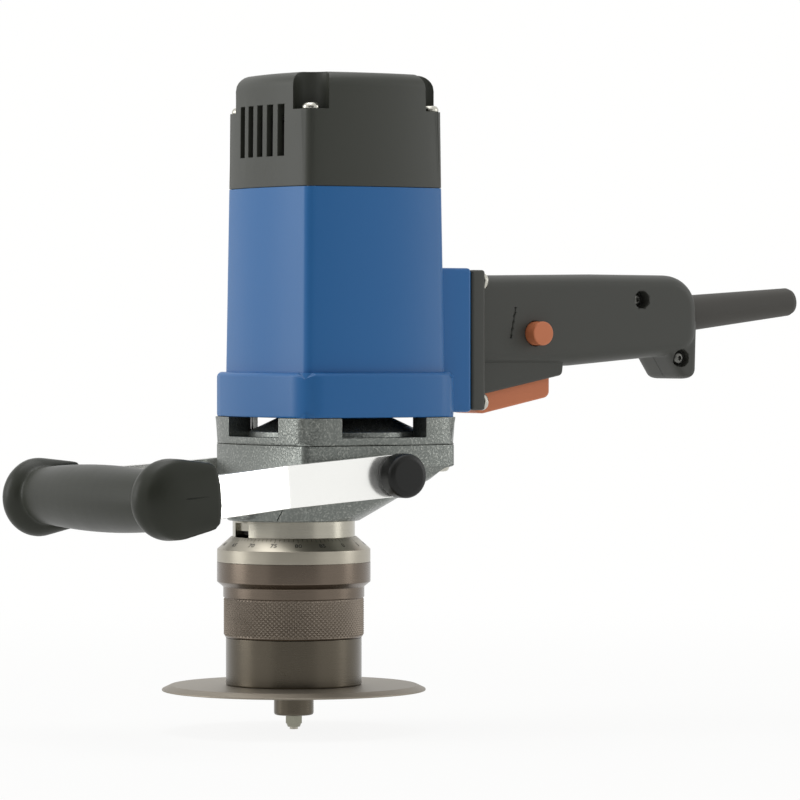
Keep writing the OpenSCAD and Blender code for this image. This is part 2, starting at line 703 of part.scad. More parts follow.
// Both halves of the handle, before they are split and hollowed.
module handle_body() {
    w = grip_half_w;
    g = grip_round;
    edge = [[w - g, 0], [w - 0.4 * g, 0.13 * g], [w - 0.1 * g, 0.45 * g], [w, 0.9 * g]];
    difference() {
        union() for (o = [[grip_outline, 1], [hook_outline, hook_soft]]) side_loft(o[0],
            [for (s = [-1, 1], i = s < 0 ? [3:-1:0] : [0:3]) [s * edge[i][0], o[1] * edge[i][1]]]);
        translate([x_flange - 20, -50, z_socket - 20]) cube([21, 100, 120]);
    }
    side_loft(switch_outline, [[-switch_half_w, 1.6], [1.6 - switch_half_w, 0], [switch_half_w - 1.6, 0],
        [switch_half_w, 1.6]]);
    translate([x_flange, -socket_half_w, z_socket + 0.8])
        cube([handle_flange_t, 2 * socket_half_w, socket_h - 1.6]);
}
module shell(s) difference() {
    handle_body();
    translate([x_flange - 1, s < 0 ? 0 : -100, z_socket - 20]) cube([300, 100, 150]);
    shell_hollow();
    shell_holes(s);
}
room_foot = 18;
room_h = grip_top - shell_wall - 2.5 - room_foot;
module shell_hollow() {
    w = grip_half_w - shell_wall;
    translate([x_flange - 1, -w, z_socket + room_foot]) cube([switch_len + handle_flange_t - 2, 2 * w,
        room_h]);
    translate([x_grip + 2.5, -trigger_half_w - part_gap, z_socket])
        cube([x_trigger_end + trigger_room - x_grip - 2.5, 2 * trigger_half_w + 2 * part_gap, 30]);
    translate([x_grip + switch_len - 12, 4 - w, z_cord - 8])
        cube([handle_len - switch_len - 10, 2 * w - 8, 12]);
    translate([x_trigger_pivot, 0, z_trigger_pivot]) rotate([90, 0, 0])
        cylinder(r = pin_r, h = 2 * pin_half, center = true);
    cord_axis() {
        translate([0, 0, -14]) cylinder(r = cord_r0 - 1.2, h = 40);
        translate([0, 0, -8]) cylinder(r = cord_r0 + 1.6, h = 3);
        translate([0, 0, -24]) cylinder(r = cord_bore_r + 0.5, h = 24);
    }
}
module shell_holes(s) {
    if (s < 0) translate([x_button, 0, z_button]) rotate([90, 0, 0]) cylinder(r = button_r + run_gap, h = 30);
    for (z = flange_screw_z) translate([x_flange - 5, s * flange_screw_y, z_socket + z]) rotate([0, 90, 0])
        cylinder(r = m5[0], h = 30);
    shell_screw_places() {
        cylinder(r = m4[0], h = through, center = true);
        translate([0, 0, s < 0 ? screw_seat : -30 - screw_seat]) cylinder(r = s < 0 ? recess_r : 3.2, h = 30);
    }
}
screw_seat = 12;
pin_half = 14;
module shell_screw_places() for (p = [[x_upper_screw, z_upper_screw], [x_lower_screw, z_lower_screw]])
    translate([p[0], 0, p[1]]) rotate([90, 0, 0]) children();
module handle_shell_near() color([0.2, 0.2, 0.19]) shell(-1);
module handle_shell_far() color([0.2, 0.2, 0.19]) shell(1);
module flange_screws() color("silver") flange_screw_places() screw(m5, handle_flange_t + 12);
module shell_screws() color("dimgray") shell_screw_places() translate([0, 0, screw_seat])
    screw(m4, 2 * screw_seat);

// Cord sleeve: rubber, held in the shells by its collar.
module cord_axis() translate([x_end, 0, z_cord]) rotate([0, 90 - cord_tilt, 0]) children();
module cord_sleeve() color([0.15, 0.15, 0.15]) cord_axis() difference() {
    union() {
        turned([[0, -14], [cord_r0 - 1.2, -14], [cord_r0 - 1.2, 2.5], [cord_r0, 2.5],
            [cord_r1, cord_sleeve_len - 4], [cord_r1 - 1.4, cord_sleeve_len - 1], [cord_r1 - 3,
                cord_sleeve_len],
            [0, cord_sleeve_len]]);
        translate([0, 0, -8]) cylinder(r = cord_r0 + 1.6, h = 3);
    }
    translate([0, 0, -20]) cylinder(r = cord_bore_r, h = 200);
}
module cord_clamp() color("dimgray") translate([x_end - 30, 0, z_cord - 3]) difference() {
    translate([-5, -11.5, -5]) cube([10, 23, 5]);
    rotate([0, 90, 0]) cylinder(r = cord_bore_r, h = 30, center = true);
}

// Switch with its trigger and lock button.
switch_h = 30;
z_switch = z_socket + 26;
module switch_body() color([0.25, 0.25, 0.25]) difference() {
    translate([x_grip + 6, -w_switch, z_switch]) cube([switch_len - 18, 2 * w_switch, switch_h]);
    translate([x_button, 0, z_button]) rotate([90, 0, 0]) cylinder(r = button_r + 0.6, h = through);
}
w_switch = grip_half_w - shell_wall - 0.1;
trigger_outline = [
    [x_trigger_pivot - 4.5, z_trigger_pivot - 5, 0], [x_grip + 7, z_switch_low - trigger_show + 1, 4],
    [x_grip + 12, z_switch_low - trigger_show + 0.6, 2], [x_trigger_end, z_switch_low + 0.2, 3.5],
    [x_trigger_end, z_switch_low + 12, 2], [x_trigger_pivot + 6, z_trigger_pivot + 3, 2],
    [x_trigger_pivot - 4.5, z_trigger_pivot + 3, 2]];
module trigger() color([0.8, 0.42, 0.26]) difference() {
    side_loft(trigger_outline, [[-trigger_half_w, 1.5], [1.5 - trigger_half_w, 0], [trigger_half_w - 1.5, 0],
        [trigger_half_w, 1.5]]);
    translate([x_trigger_pivot, 0, z_trigger_pivot]) rotate([90, 0, 0])
        cylinder(r = pin_r + run_gap, h = through, center = true);
    translate([x_spring, 0, z_spring_seat]) cylinder(r = spring_r + 0.4, h = 40);
}
spring_r = 3;
x_spring = x_grip + 36;
z_spring_seat = z_switch_low + 4;
module trigger_pin() color("silver") translate([x_trigger_pivot, 0, z_trigger_pivot]) rotate([90, 0, 0])
    cylinder(r = pin_r, h = 2 * pin_half, center = true);
module trigger_spring() color("silver") translate([x_spring, 0, z_spring_seat])
    tube(spring_r - 0.8, spring_r, z_switch - z_spring_seat);
module lock_button() color([0.8, 0.42, 0.26]) translate([x_button, 0, z_button]) rotate([90, 0, 0])
    turned([[0, 4.5], [3, 4.5], [3, 8], [button_r, 8], [button_r, grip_half_w + button_out - 1],
        [button_r - 1, grip_half_w + button_out], [0, grip_half_w + button_out]]);
module lock_spring() color("silver") translate([x_button, 0, z_button]) rotate([90, 0, 0])
    tube(3.3, 4, 8);

// Field: laminated core with two coils.
module field_core() color("darkgray") along_motor() translate([0, 0, z_core]) difference() {
    tube(armature_r + 0.6, field_r, core_h);
    for (s = [-1, 1]) intersection() {
        translate([0, 0, -1]) tube(armature_r + 2.6, field_r - 4, core_h + 2);
        translate([s * 29 - 12, -16, -2]) cube([24, 32, core_h + 4]);
    }
}
coil_out = 9;
module field_coils() color("peru") along_motor() for (s = [-1, 1]) intersection() {
    translate([0, 0, z_core - coil_out]) tube(armature_r + 2.8, field_r - 4.2, core_h + 2 * coil_out);
    translate([s * 29 - 12, -15.8, z_core - coil_out - 1]) cube([24, 31.6, core_h + 2 * coil_out + 2]);
}

// Brush bridge: carries the brush holders and the upper bearing above the housing.
bridge_t = 3;
bridge_r = 22.5;
bridge_in = 19.5;
module brush_bridge() color([0.3, 0.3, 0.28]) along_motor() difference() {
    turned([[bridge_in, z_cap], [ledge_r + 3.2, z_cap], [ledge_r + 3.2, z_cap + bridge_t],
        [bridge_r, z_cap + bridge_t], [bridge_r, z_upper_top + 2], [0, z_upper_top + 2],
        [0, z_upper_bearing - 1], [bridge_in, z_upper_bearing - 1]]);
    translate([0, 0, z_upper_bearing]) cylinder(r = upper_bearing[1], h = upper_bearing[2]);
    translate([0, 0, z_upper_bearing - 2]) cylinder(r = upper_bearing[1] - 2, h = 5);
    for (s = [-1, 1]) translate([-holder_w / 2, s * 21 - 5, z_brush - holder_h / 2])
        cube([holder_w, 10, holder_h]);
    bridge_screw_places() translate([0, 0, z_cap - 1]) cylinder(r = m4[0], h = 10);
}
module bridge_screws() color("silver") along_motor() bridge_screw_places()
    translate([0, 0, z_cap + bridge_t]) screw([m4[0], 3, 2], bridge_t + 4);
holder_w = 10;
holder_h = 14;
holder_wall = 1.2;
holder_out = 34;
module holder_block(r0, r1, w, h) for (s = [-1, 1])
    translate([-w / 2, s > 0 ? r0 : -r1, z_brush - h / 2]) cube([w, r1 - r0, h]);
module brush_holders() color("goldenrod") along_motor() difference() {
    holder_block(commutator_r + 1.4, holder_out, holder_w, holder_h);
    holder_block(commutator_r, holder_out - 1.5, holder_w - 2 * holder_wall, holder_h - 2 * holder_wall);
}
brush_len = 12;
module carbon_brushes() color([0.12, 0.12, 0.12]) along_motor() holder_block(commutator_r + run_gap,
    commutator_r + run_gap + brush_len, holder_w - 2 * holder_wall, holder_h - 2 * holder_wall);
module brush_springs() color("silver") along_motor() for (s = [-1, 1])
    translate([0, s * (commutator_r + run_gap + brush_len), z_brush]) rotate([-s * 90, 0, 0])
        tube(2.2, 3, holder_out - 1.5 - commutator_r - run_gap - brush_len);

// Bearings, bush and seal.
module upper_bearing_ring() color("silver") along_motor() translate([0, 0, z_upper_bearing])
    ring_outer(upper_bearing);
module lower_bearing_ring() color("silver") along_motor() translate([0, 0, z_lower_bearing])
    ring_outer(lower_bearing);
module spindle_bearing_ring() color("silver") translate([0, 0, z_spindle_bearing])
    ring_outer(spindle_bearing);
module upper_bearing_race() color("silver") along_motor() translate([0, 0, z_upper_bearing])
    ring_inner(upper_bearing);
module lower_bearing_race() color("silver") along_motor() translate([0, 0, z_lower_bearing])
    ring_inner(lower_bearing);
module spindle_bearing_race() color("silver") translate([0, 0, z_spindle_bearing])
    ring_inner(spindle_bearing);
module spindle_bush() color("tan") translate([0, 0, z_flange])
    tube(spindle_tip_r + run_gap, spindle_tip_r + bush_wall, bush_h);
module spindle_seal() color([0.1, 0.1, 0.1]) translate([0, 0, z_spindle_bearing - lip_h - seal_w])
    tube(journal_r + run_gap, seal_r, seal_w);

// Armature with its pinion.
pinion_root_r = gear_m * (pinion_z / 2 - 1.25 + shift);
module armature_shaft() color("silver") along_motor() {
    translate([0, 0, z_gear - 1]) linear_extrude(gear_w + 2)
        rotate([0, 0, 180 + 180 / pinion_z]) gear_profile(pinion_z, shift, gear_m);
    turned([[0, z_gear], [pinion_root_r - 0.05, z_gear], [pinion_root_r - 0.05, z_gear_top + 1],
        [lower_bearing[0], z_gear_top + 1], [lower_bearing[0], z_lower_top + 3], [7, z_lower_top + 3],
        [7, z_commutator - 2], [6, z_commutator - 2], [6, z_upper_bearing - 2], [upper_bearing[0] + 1,
            z_upper_bearing - 2],
        [upper_bearing[0] + 1, z_upper_bearing], [upper_bearing[0], z_upper_bearing],
        [upper_bearing[0], z_upper_top], [0, z_upper_top]]);
}
slot_depth = 9;
slot_open = 4;
module armature_slots_cut(r, w) for (i = [0:armature_slots - 1]) rotate([0, 0, i * 360 / armature_slots])
    translate([armature_r - slot_depth, -w / 2, 0]) cube([r, w, core_h]);
module armature_core() color("slategray") along_motor() translate([0, 0, z_core]) difference() {
    tube(7, armature_r, core_h);
    armature_slots_cut(slot_depth + 5, slot_open);
}
winding_r = armature_r - 2;
module armature_coils() color("peru") along_motor() translate([0, 0, z_core]) {
    armature_slots_cut(slot_depth - 2, slot_open);
    for (z = [-10, core_h]) translate([0, 0, z]) tube(8, winding_r, 10);
}
module commutator() color("chocolate") along_motor() translate([0, 0, z_commutator]) difference() {
    tube(6, commutator_r, commutator_h);
    for (i = [0:23]) rotate([0, 0, i * 15]) translate([commutator_r - 1, -0.25, 2.5])
        cube([2, 0.5, commutator_h]);
}
module cooling_fan() color([0.22, 0.22, 0.22]) along_motor() translate([0, 0, z_fan]) {
    tube(7, 11, fan_h);
    translate([0, 0, fan_h - 2]) tube(10, fan_r, 2);
    for (i = [0:fan_blades - 1]) rotate([0, 0, i * 360 / fan_blades]) translate([10.5, -0.9, 3])
        cube([fan_r - 11.5, 1.8, fan_h - 4]);
}

// Spindle with the driven gear.
key_w = 5;
module spindle() color("silver") difference() {
    turned([[0, z_nut - nut_hex_h - nut_dome_h - stud_end], [nut_stud_r,
        z_nut - nut_hex_h - nut_dome_h - stud_end],
        [nut_stud_r, z_nut], [pilot_r, z_nut], [pilot_r, z_cutter], [cutter_bore_r, z_cutter],
        [cutter_bore_r, z_cutter_top], [collar_r, z_cutter_top], [collar_r, z_cutter_top + 5],
        [journal_r, z_cutter_top + 5],
        [journal_r, z_spindle_bearing], [spindle_bearing[0], z_spindle_bearing], [spindle_bearing[0],
            z_bearing_top],
        [gear_seat_r, z_bearing_top], [gear_seat_r, z_gear_top + 2.6], [spindle_tip_r, z_gear_top + 2.6],
        [spindle_tip_r, z_flange + bush_h - 0.5], [0, z_flange + bush_h - 0.5]]);
    translate([0, 0, z_gear_top]) tube(gear_seat_r - 0.8, gear_seat_r + 1, 1.2);
    translate([gear_seat_r - 3, -key_w / 2, z_gear]) cube([5, key_w, gear_w]);
}
module drive_gear() color("gray") difference() {
    union() {
        translate([0, 0, z_gear]) linear_extrude(gear_w) gear_profile(gear_z, -shift, gear_m);
        translate([0, 0, z_bearing_top]) cylinder(r = 12.5, h = z_gear - z_bearing_top + 1);
    }
    translate([0, 0, z_gear - 50]) cylinder(r = gear_seat_r, h = 100);
    translate([0, -key_w / 2, z_gear]) cube([gear_seat_r + 2, key_w, gear_w + 1]);
}
module gear_key() color("dimgray") translate([gear_seat_r - 3, -key_w / 2, z_gear]) cube([5, key_w, gear_w]);
module gear_circlip() color("silver") translate([0, 0, z_gear_top])
    tube(gear_seat_r - 0.8, gear_seat_r + 2, 1.2);

// Cutter: a 45 degree head with indexable inserts.
insert_t = 3.2;
insert_len = 11;
insert_depth = 4.5;
insert_proud = 0.8;
body_in = 1.2;
module insert_places() for (i = [0:insert_n - 1]) rotate([0, 0, 30 + i * 360 / insert_n])
    translate([(cutter_r0 + cutter_top_r) / 2, 0, (z_cutter + z_cutter_top) / 2]) rotate([0, -45, 0])
        translate([-1, 0, 0]) children();
// In this frame X runs up the slope and Z points in to the axis.
module insert_block(d) translate([-insert_len / 2, -insert_t, 0])
    cube([insert_len, insert_t + d, insert_depth]);
module cutter_head() color("gray") difference() {
    turned([[cutter_bore_r, z_cutter], [cutter_r0 - body_in, z_cutter], [cutter_top_r - body_in,
        z_cutter_top],
        [cutter_bore_r, z_cutter_top]]);
    insert_places() {
        insert_block(3.4);
        translate([0, -insert_t, insert_depth / 2]) rotate([90, 0, 0]) cylinder(r = 1.5, h = 4);
    }
}
module cutter_inserts() color("goldenrod") insert_places() difference() {
    insert_block(0);
    translate([0, 1, insert_depth / 2]) rotate([90, 0, 0]) cylinder(r = 1.5, h = 10);
}
module insert_screws() color("dimgray") insert_places() translate([0, 0, insert_depth / 2])
    rotate([-90, 0, 0])
    screw([1.5, 2.3, 1.4], insert_t + 3.6);

// Guide roller under the cutter, on its bush, held by the lock nut.
module roller_bush() color("silver") translate([0, 0, z_nut]) tube(pilot_r, bush_r, z_cutter - z_nut);
module guide_roller() color([0.25, 0.22, 0.2]) turned([[bush_r + run_gap, z_roller], [roller_r - 1.2,
    z_roller],
    [roller_r - 0.35, z_roller + 0.35], [roller_r, z_roller + 1.2], [roller_r, z_roller + roller_h - 0.4],
    [roller_r - 0.4, z_roller + roller_h], [bush_r + run_gap, z_roller + roller_h]]);
module lock_nut() color("silver") translate([0, 0, z_nut - nut_hex_h]) difference() {
    union() {
        cylinder(r = 8 / sqrt(3), h = nut_hex_h, $fn = 6);
        translate([0, 0, -nut_dome_h]) turned([[0, 0], [3.1, 0], [3.8, nut_dome_h], [3.8, nut_dome_h + 0.5],
            [0, nut_dome_h + 0.5]]);
    }
    translate([0, 0, -5]) cylinder(r = nut_stud_r, h = 20);
}

// Front handle, tilted about its pivot.
module front_frame() translate([x_pivot, 0, z_pivot]) rotate([0, -front_tilt, 0]) children();
strap_end_x = -(reach + 6);
module strap_side() intersection() {
    translate([0, 0, -strap_h / 2]) linear_extrude(strap_h) polygon([
        [strap_h / 2, strap_in], [strap_h / 2, strap_out], [x_joggle0, strap_out], [x_joggle1,
            strap_wide + strap_t],
        [strap_end_x, strap_wide + strap_t], [strap_end_x, strap_wide], [x_joggle1, strap_wide],
        [x_joggle0, strap_in]]);
    rotate([-90, 0, 0]) union() {
        cylinder(r = strap_h / 2, h = 100);
        translate([strap_end_x - 1, -strap_h / 2, 0]) cube([-strap_end_x + 1, strap_h, 100]);
    }
}
module front_straps() color("lightgray") front_frame() for (s = [-1, 1]) scale([1, s, 1]) difference() {
    strap_side();
    rotate([-90, 0, 0]) cylinder(r = stud_r + run_gap, h = 100);
}
// Rubber grip on the strap ends: a barrel between two bulbs.
bulb_in = 56;
bulb_w = 20;
module front_grip() color([0.2, 0.2, 0.19]) front_frame() difference() {
    union() {
        translate([-reach, 0, 0]) rotate([90, 0, 0]) rotate_extrude() polygon(concat([[0, -grip_y]],
            [for (t = [-1:0.125:1]) [barrel_end_r + (barrel_r - barrel_end_r) * (1 - t * t), t * grip_y]],
            [[0, grip_y]]));
        for (s = [-1, 1]) scale([1, s, 1]) hull() {
            translate([-reach, grip_y - bulb_w / 2 - 1, 0]) rotate([90, 0, 0])
                cylinder(r = bulb_r, h = 4, center = true, $fn = 36);
            translate([-reach, grip_y - 1, 0]) rotate([90, 0, 0])
                cylinder(r = bulb_r - 3, h = bulb_w + 6, center = true, $fn = 36);
            translate([snout_x - 2, strap_wide - 5, -15]) cube([2, strap_t + 9, 30]);
        }
    }
    for (s = [-1, 1]) scale([1, s, 1]) strap_side();
}

// Clamp knobs with their studs, on the pivot.
module knob() rotate([90, 0, 0]) turned([[0, boss_face - stud_in + 2], [stud_r, boss_face - stud_in + 2],
    [stud_r, strap_out], [stud_r, strap_out + part_gap], [knob_r - 1.6, strap_out + part_gap],
    [knob_r - 1.6, strap_out + 1.5], [knob_r, strap_out + 1.5], [knob_r, strap_out + 1.5 + knob_h - 2],
    [knob_r - 0.6, strap_out + 1.5 + knob_h - 0.6], [knob_r - 2, strap_out + 1.5 + knob_h],
    [0, strap_out + 1.5 + knob_h]]);
module knob_near() color([0.12, 0.12, 0.12]) front_frame() knob();
module knob_far() color([0.12, 0.12, 0.12]) front_frame() scale([1, -1, 1]) knob();

base_plate();
plate_screws();
guide_sleeve();
guide_key();
retaining_wire();
adjusting_ring();
scale_ring();
neck_tube();
gear_case();
gear_case_screws();
bearing_flange();
motor_housing();
top_cap();
cap_screws();
handle_shell_near();
handle_shell_far();
flange_screws();
shell_screws();
cord_sleeve();
cord_clamp();
switch_body();
trigger();
trigger_pin();
trigger_spring();
lock_button();
lock_spring();
field_core();
field_coils();
brush_bridge();
bridge_screws();
brush_holders();
carbon_brushes();
brush_springs();
upper_bearing_ring();
lower_bearing_ring();
spindle_bearing_ring();
spindle_bush();
spindle_seal();
armature_shaft();
armature_core();
armature_coils();
commutator();
cooling_fan();
upper_bearing_race();
lower_bearing_race();
spindle();
drive_gear();
gear_key();
gear_circlip();
spindle_bearing_race();
cutter_head();
cutter_inserts();
insert_screws();
roller_bush();
guide_roller();
lock_nut();
front_grip();
front_straps();
knob_near();
knob_far();
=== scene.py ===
import math

import bmesh
import bpy
from mathutils import Matrix, Vector


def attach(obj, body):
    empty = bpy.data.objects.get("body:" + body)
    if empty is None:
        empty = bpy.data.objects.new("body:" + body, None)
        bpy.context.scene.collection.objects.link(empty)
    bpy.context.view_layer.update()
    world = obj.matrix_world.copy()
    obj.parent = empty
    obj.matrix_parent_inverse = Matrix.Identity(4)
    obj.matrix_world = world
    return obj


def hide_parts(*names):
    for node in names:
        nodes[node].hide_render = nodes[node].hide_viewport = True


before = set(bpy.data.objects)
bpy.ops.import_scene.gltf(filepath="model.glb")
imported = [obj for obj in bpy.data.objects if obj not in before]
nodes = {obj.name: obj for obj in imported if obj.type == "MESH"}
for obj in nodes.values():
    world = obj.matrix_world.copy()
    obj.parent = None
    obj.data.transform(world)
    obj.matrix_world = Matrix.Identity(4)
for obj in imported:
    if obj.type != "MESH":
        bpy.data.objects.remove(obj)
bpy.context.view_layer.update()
scene = bpy.context.scene


# Camera: a long lens at the height of the main handle, a sixth of a turn round from the front
# handle, so that two faces of the motor and the whole of both handles show.
def shown(name, data):
    """A new object with that data, put in the scene."""
    obj = bpy.data.objects.new(name, data)
    scene.collection.objects.link(obj)
    return obj


long_lens = bpy.data.cameras.new("camera")
long_lens.lens = 211.5
long_lens.clip_end = 50
camera = shown("camera", long_lens)
camera.location = (-1.2002, -2.0210, 0.1775)
camera.rotation_euler = (math.radians(89.21), 0, math.radians(-32))
scene.camera = camera
scene.view_settings.view_transform = "Standard"


# Studio: a white room with a pale floor, one broad soft lamp on each side and one above, and a
# dark screen behind the camera that gives the turned metal its dark band.
class Socket:
    """An end of a finish's node tree. Arithmetic on it adds Math nodes."""

    def __init__(self, tree, end=None):
        self.tree, self.end = tree, end

    def feed(self, node, inputs):
        """Gives a node's inputs their values, or links them to other sockets."""
        for name, value in inputs.items():
            if isinstance(value, Socket):
                self.tree.links.new(value.end, node.inputs[name])
            else:
                node.inputs[name].default_value = value

    def node(self, kind, inputs=None, output=0, **settings):
        made = self.tree.nodes.new(kind)
        for name, value in settings.items():
            setattr(made, name, value)
        self.feed(made, inputs or {})
        return Socket(self.tree, made.outputs[output] if made.outputs else None)

    def maths(self, operation, *values):
        return self.node("ShaderNodeMath", dict(enumerate(values)), operation=operation)

    def __add__(self, other):
        return self.maths("ADD", self, other)

    def __rsub__(self, other):
        return self.maths("SUBTRACT", other, self)

    def __mul__(self, other):
        return self.maths("MULTIPLY", self, other)

    __radd__, __rmul__ = __add__, __mul__


def blank_tree(owner):
    """Empties the node tree of a material or a world, and returns a socket to build it from."""
    owner.use_nodes = True
    owner.node_tree.nodes.clear()
    return Socket(owner.node_tree)


def seen_rays(sock):
    """1 where a thing is seen, straight or mirrored or through glass, and 0 where it lights."""
    seen = sock.node("ShaderNodeLightPath", output="Is Camera Ray")
    for kind in ("Is Glossy Ray", "Is Transmission Ray"):
        seen = seen.maths("MAXIMUM", seen, sock.node("ShaderNodeLightPath", output=kind))
    return seen


def shift(x, y, z):
    return Matrix.Translation((x, y, z))


def rotate(degrees, axis):
    return Matrix.Rotation(math.radians(degrees), 4, axis)


def mesh_object(name, bm):
    """Puts a finished bmesh in the scene as an object."""
    mesh = bpy.data.meshes.new(name)
    bm.to_mesh(mesh)
    bm.free()
    return shown(name, mesh)


def soft_lamp(name, place, size, power):
    data = bpy.data.lights.new(name, "AREA")
    data.shape, data.size, data.size_y, data.energy = "RECTANGLE", size[0], size[1], power
    lamp = shown(name, data)
    lamp.location = place
    lamp.rotation_euler = (LAMP_TARGET - Vector(place)).to_track_quat("-Z", "Y").to_euler()


ROOM_WHITE, ROOM_LIGHT = (1, 1, 0.995, 1), 0.42
FLOOR_Z, FLOOR_RADIUS, FLOOR_COLOUR = -0.0205, 12, (0.9, 0.9, 0.89, 1)
SCREEN_ROUND, SCREEN_AWAY, SCREEN_Z, SCREEN_SIZE = -30, 2.6, 0.5, (4.0, 2.4, 1, 1)
SCREEN_COLOUR = (0.1, 0.1, 0.1, 1)
LAMP_TARGET = Vector((0.06, 0, 0.15))

world = bpy.data.worlds.new("room")
scene.world = world
room = blank_tree(world)
light = room.node("ShaderNodeBackground", {"Color": (1, 1, 1, 1), "Strength": ROOM_LIGHT})
white = room.node("ShaderNodeBackground", {"Color": ROOM_WHITE, "Strength": 1.0})
shade = room.node("ShaderNodeMixShader", {0: seen_rays(room), 1: light, 2: white})
room.node("ShaderNodeOutputWorld", {"Surface": shade})

floor_bm = bmesh.new()
bmesh.ops.create_circle(floor_bm, cap_ends=True, segments=96, radius=FLOOR_RADIUS,
                        matrix=shift(0, 0, FLOOR_Z))
floor = mesh_object("floor", floor_bm)
pale_floor = bpy.data.materials.new("pale_floor")
ground = blank_tree(pale_floor)
lit = ground.node("ShaderNodeBsdfDiffuse", {"Color": FLOOR_COLOUR})
glow = ground.node("ShaderNodeEmission", {"Color": ROOM_WHITE, "Strength": 1.0})
place = ground.node("ShaderNodeTexCoord", output="Object")
away = ground.node("ShaderNodeVectorMath", {0: place}, 1, operation="LENGTH")
fade = ground.node("ShaderNodeMapRange", {"Value": away, "From Min": 0.3, "From Max": 1.1,
                                          "To Min": 0.9, "To Max": 1.0},
                   interpolation_type="SMOOTHSTEP")
shade = ground.node("ShaderNodeMixShader", {0: seen_rays(ground) * fade, 1: lit, 2: glow})
ground.node("ShaderNodeOutputMaterial", {"Surface": shade})
floor.data.materials.append(pale_floor)

soft_lamp("left_lamp", (-2.1, 1.25, 0.7), (1.1, 2.0), 23)
soft_lamp("right_lamp", (2.3, -1.3, 0.7), (0.7, 1.6), 9)
soft_lamp("top_lamp", (-0.1, 0.3, 2.4), (1.8, 1.8), 24)

screen_bm = bmesh.new()
bmesh.ops.create_grid(screen_bm, x_segments=1, y_segments=1, size=0.5,
                      matrix=rotate(SCREEN_ROUND, "Z") @ shift(0, -SCREEN_AWAY, SCREEN_Z)
                      @ rotate(90, "X") @ Matrix.Diagonal(SCREEN_SIZE))
screen = mesh_object("screen", screen_bm)
dark_screen = bpy.data.materials.new("dark_screen")
cloth = blank_tree(dark_screen)
glow = cloth.node("ShaderNodeEmission", {"Color": SCREEN_COLOUR, "Strength": 1.0})
cloth.node("ShaderNodeOutputMaterial", {"Surface": glow})
screen.data.materials.append(dark_screen)
screen.visible_camera = screen.visible_diffuse = False
screen.visible_shadow = screen.visible_transmission = False


# Base plate: a flat steel disc with a bevelled rim, blackened in hot oil. It rests on the work and
# is held to the guide sleeve by four countersunk screws from below.
def srgb(red, green, blue):
    """A colour written as it is seen, 0 to 255, in the linear values that shaders take."""
    return tuple(c / 3294.6 if c <= 10.31 else ((c / 255 + 0.055) / 1.055) ** 2.4
                 for c in (red, green, blue)) + (1,)


def tinted(colour, gain, lift=0.0):
    """A colour made brighter or darker, and lifted towards grey."""
    return tuple(c * gain + lift for c in colour[:3]) + (1,)


def start_finish(name):
    """A new material with one Principled shader, and a socket to build its tree from."""
    material = bpy.data.materials.new(name)
    material.use_nodes = True
    return material, Socket(material.node_tree)


def noise(sock, scale, detail, stretch=None):
    """Soft noise on the object's own coordinates, about that many grains a metre."""
    place = sock.node("ShaderNodeTexCoord", output="Object")
    if stretch:
        place = sock.node("ShaderNodeMapping", {"Vector": place, "Scale": stretch})
    return sock.node("ShaderNodeTexNoise", {"Vector": place, "Scale": scale, "Detail": detail})


def mixed(sock, factor, first, second):
    return sock.node("ShaderNodeMix", {0: factor, 6: first, 7: second}, 2, data_type="RGBA")


def bumped(sock, strength, distance, height):
    return sock.node("ShaderNodeBump", {"Strength": strength, "Distance": distance,
                                        "Height": height})


def shaded(sock, inputs):
    """Feeds the Principled shader at the end of a finish."""
    sock.feed(sock.tree.nodes["Principled BSDF"], inputs)


def metal_finish(name, pale, dark, rough=0.3, turning=1400.0, marks=0.00001, metallic=1.0):
    """Machined metal: fine tool marks round the Z axis, with patches where it is duller."""
    material, sock = start_finish(name)
    lines, cloud = noise(sock, turning, 3.0, (0.03, 0.03, 1.0)), noise(sock, 38.0, 4.0)
    shaded(sock, {"Base Color": mixed(sock, cloud * 0.7 + lines * 0.3, dark, pale),
                  "Roughness": rough - 0.06 + cloud * 0.08 + lines * 0.04,
                  "Metallic": metallic, "Normal": bumped(sock, 0.5, marks, lines)})
    return material


def plated_finish(name, colour, rough):
    """Plating or blacking on small parts: even, with faint cloudy dulling."""
    material, sock = start_finish(name)
    cloud = noise(sock, 420.0, 3.0)
    shaded(sock, {"Base Color": mixed(sock, cloud, tinted(colour, 0.8), colour),
                  "Roughness": rough + cloud * 0.12, "Metallic": 1.0})
    return material


def turned(points, rounding=0.0004, steps=128, segments=2):
    """Spins a closed half section of (radius, height) corners about Z, with its corners rounded."""
    bm = bmesh.new()
    bm.faces.new([bm.verts.new((r, 0, z)) for r, z in points])
    bmesh.ops.bevel(bm, geom=[v for v in bm.verts if v.co.x > 1e-6], offset=rounding,
                    segments=segments, profile=0.5, affect="VERTICES", material=-1,
                    clamp_overlap=True)
    bmesh.ops.delete(bm, geom=bm.faces[:], context="FACES_ONLY")
    on_axis = [e for e in bm.edges if all(v.co.x < 1e-6 for v in e.verts)]
    bmesh.ops.delete(bm, geom=on_axis, context="EDGES")
    bmesh.ops.spin(bm, geom=bm.verts[:] + bm.edges[:], cent=(0, 0, 0), axis=(0, 0, 1),
                   angle=2 * math.pi, steps=steps, use_merge=True)
    return bm


def loose_object(name, bm):
    bmesh.ops.remove_doubles(bm, verts=bm.verts, dist=1e-6)
    bmesh.ops.recalc_face_normals(bm, faces=bm.faces)
    return mesh_object(name, bm)


def as_mesh(obj):
    """The mesh that an object's modifiers, or its letters, come to."""
    bpy.context.view_layer.update()
    return bpy.data.meshes.new_from_object(
        obj.evaluated_get(bpy.context.evaluated_depsgraph_get()))


def applied(obj):
    """Puts the result of the modifiers into the mesh."""
    made = as_mesh(obj)
    obj.modifiers.clear()
    obj.data = made
    return obj


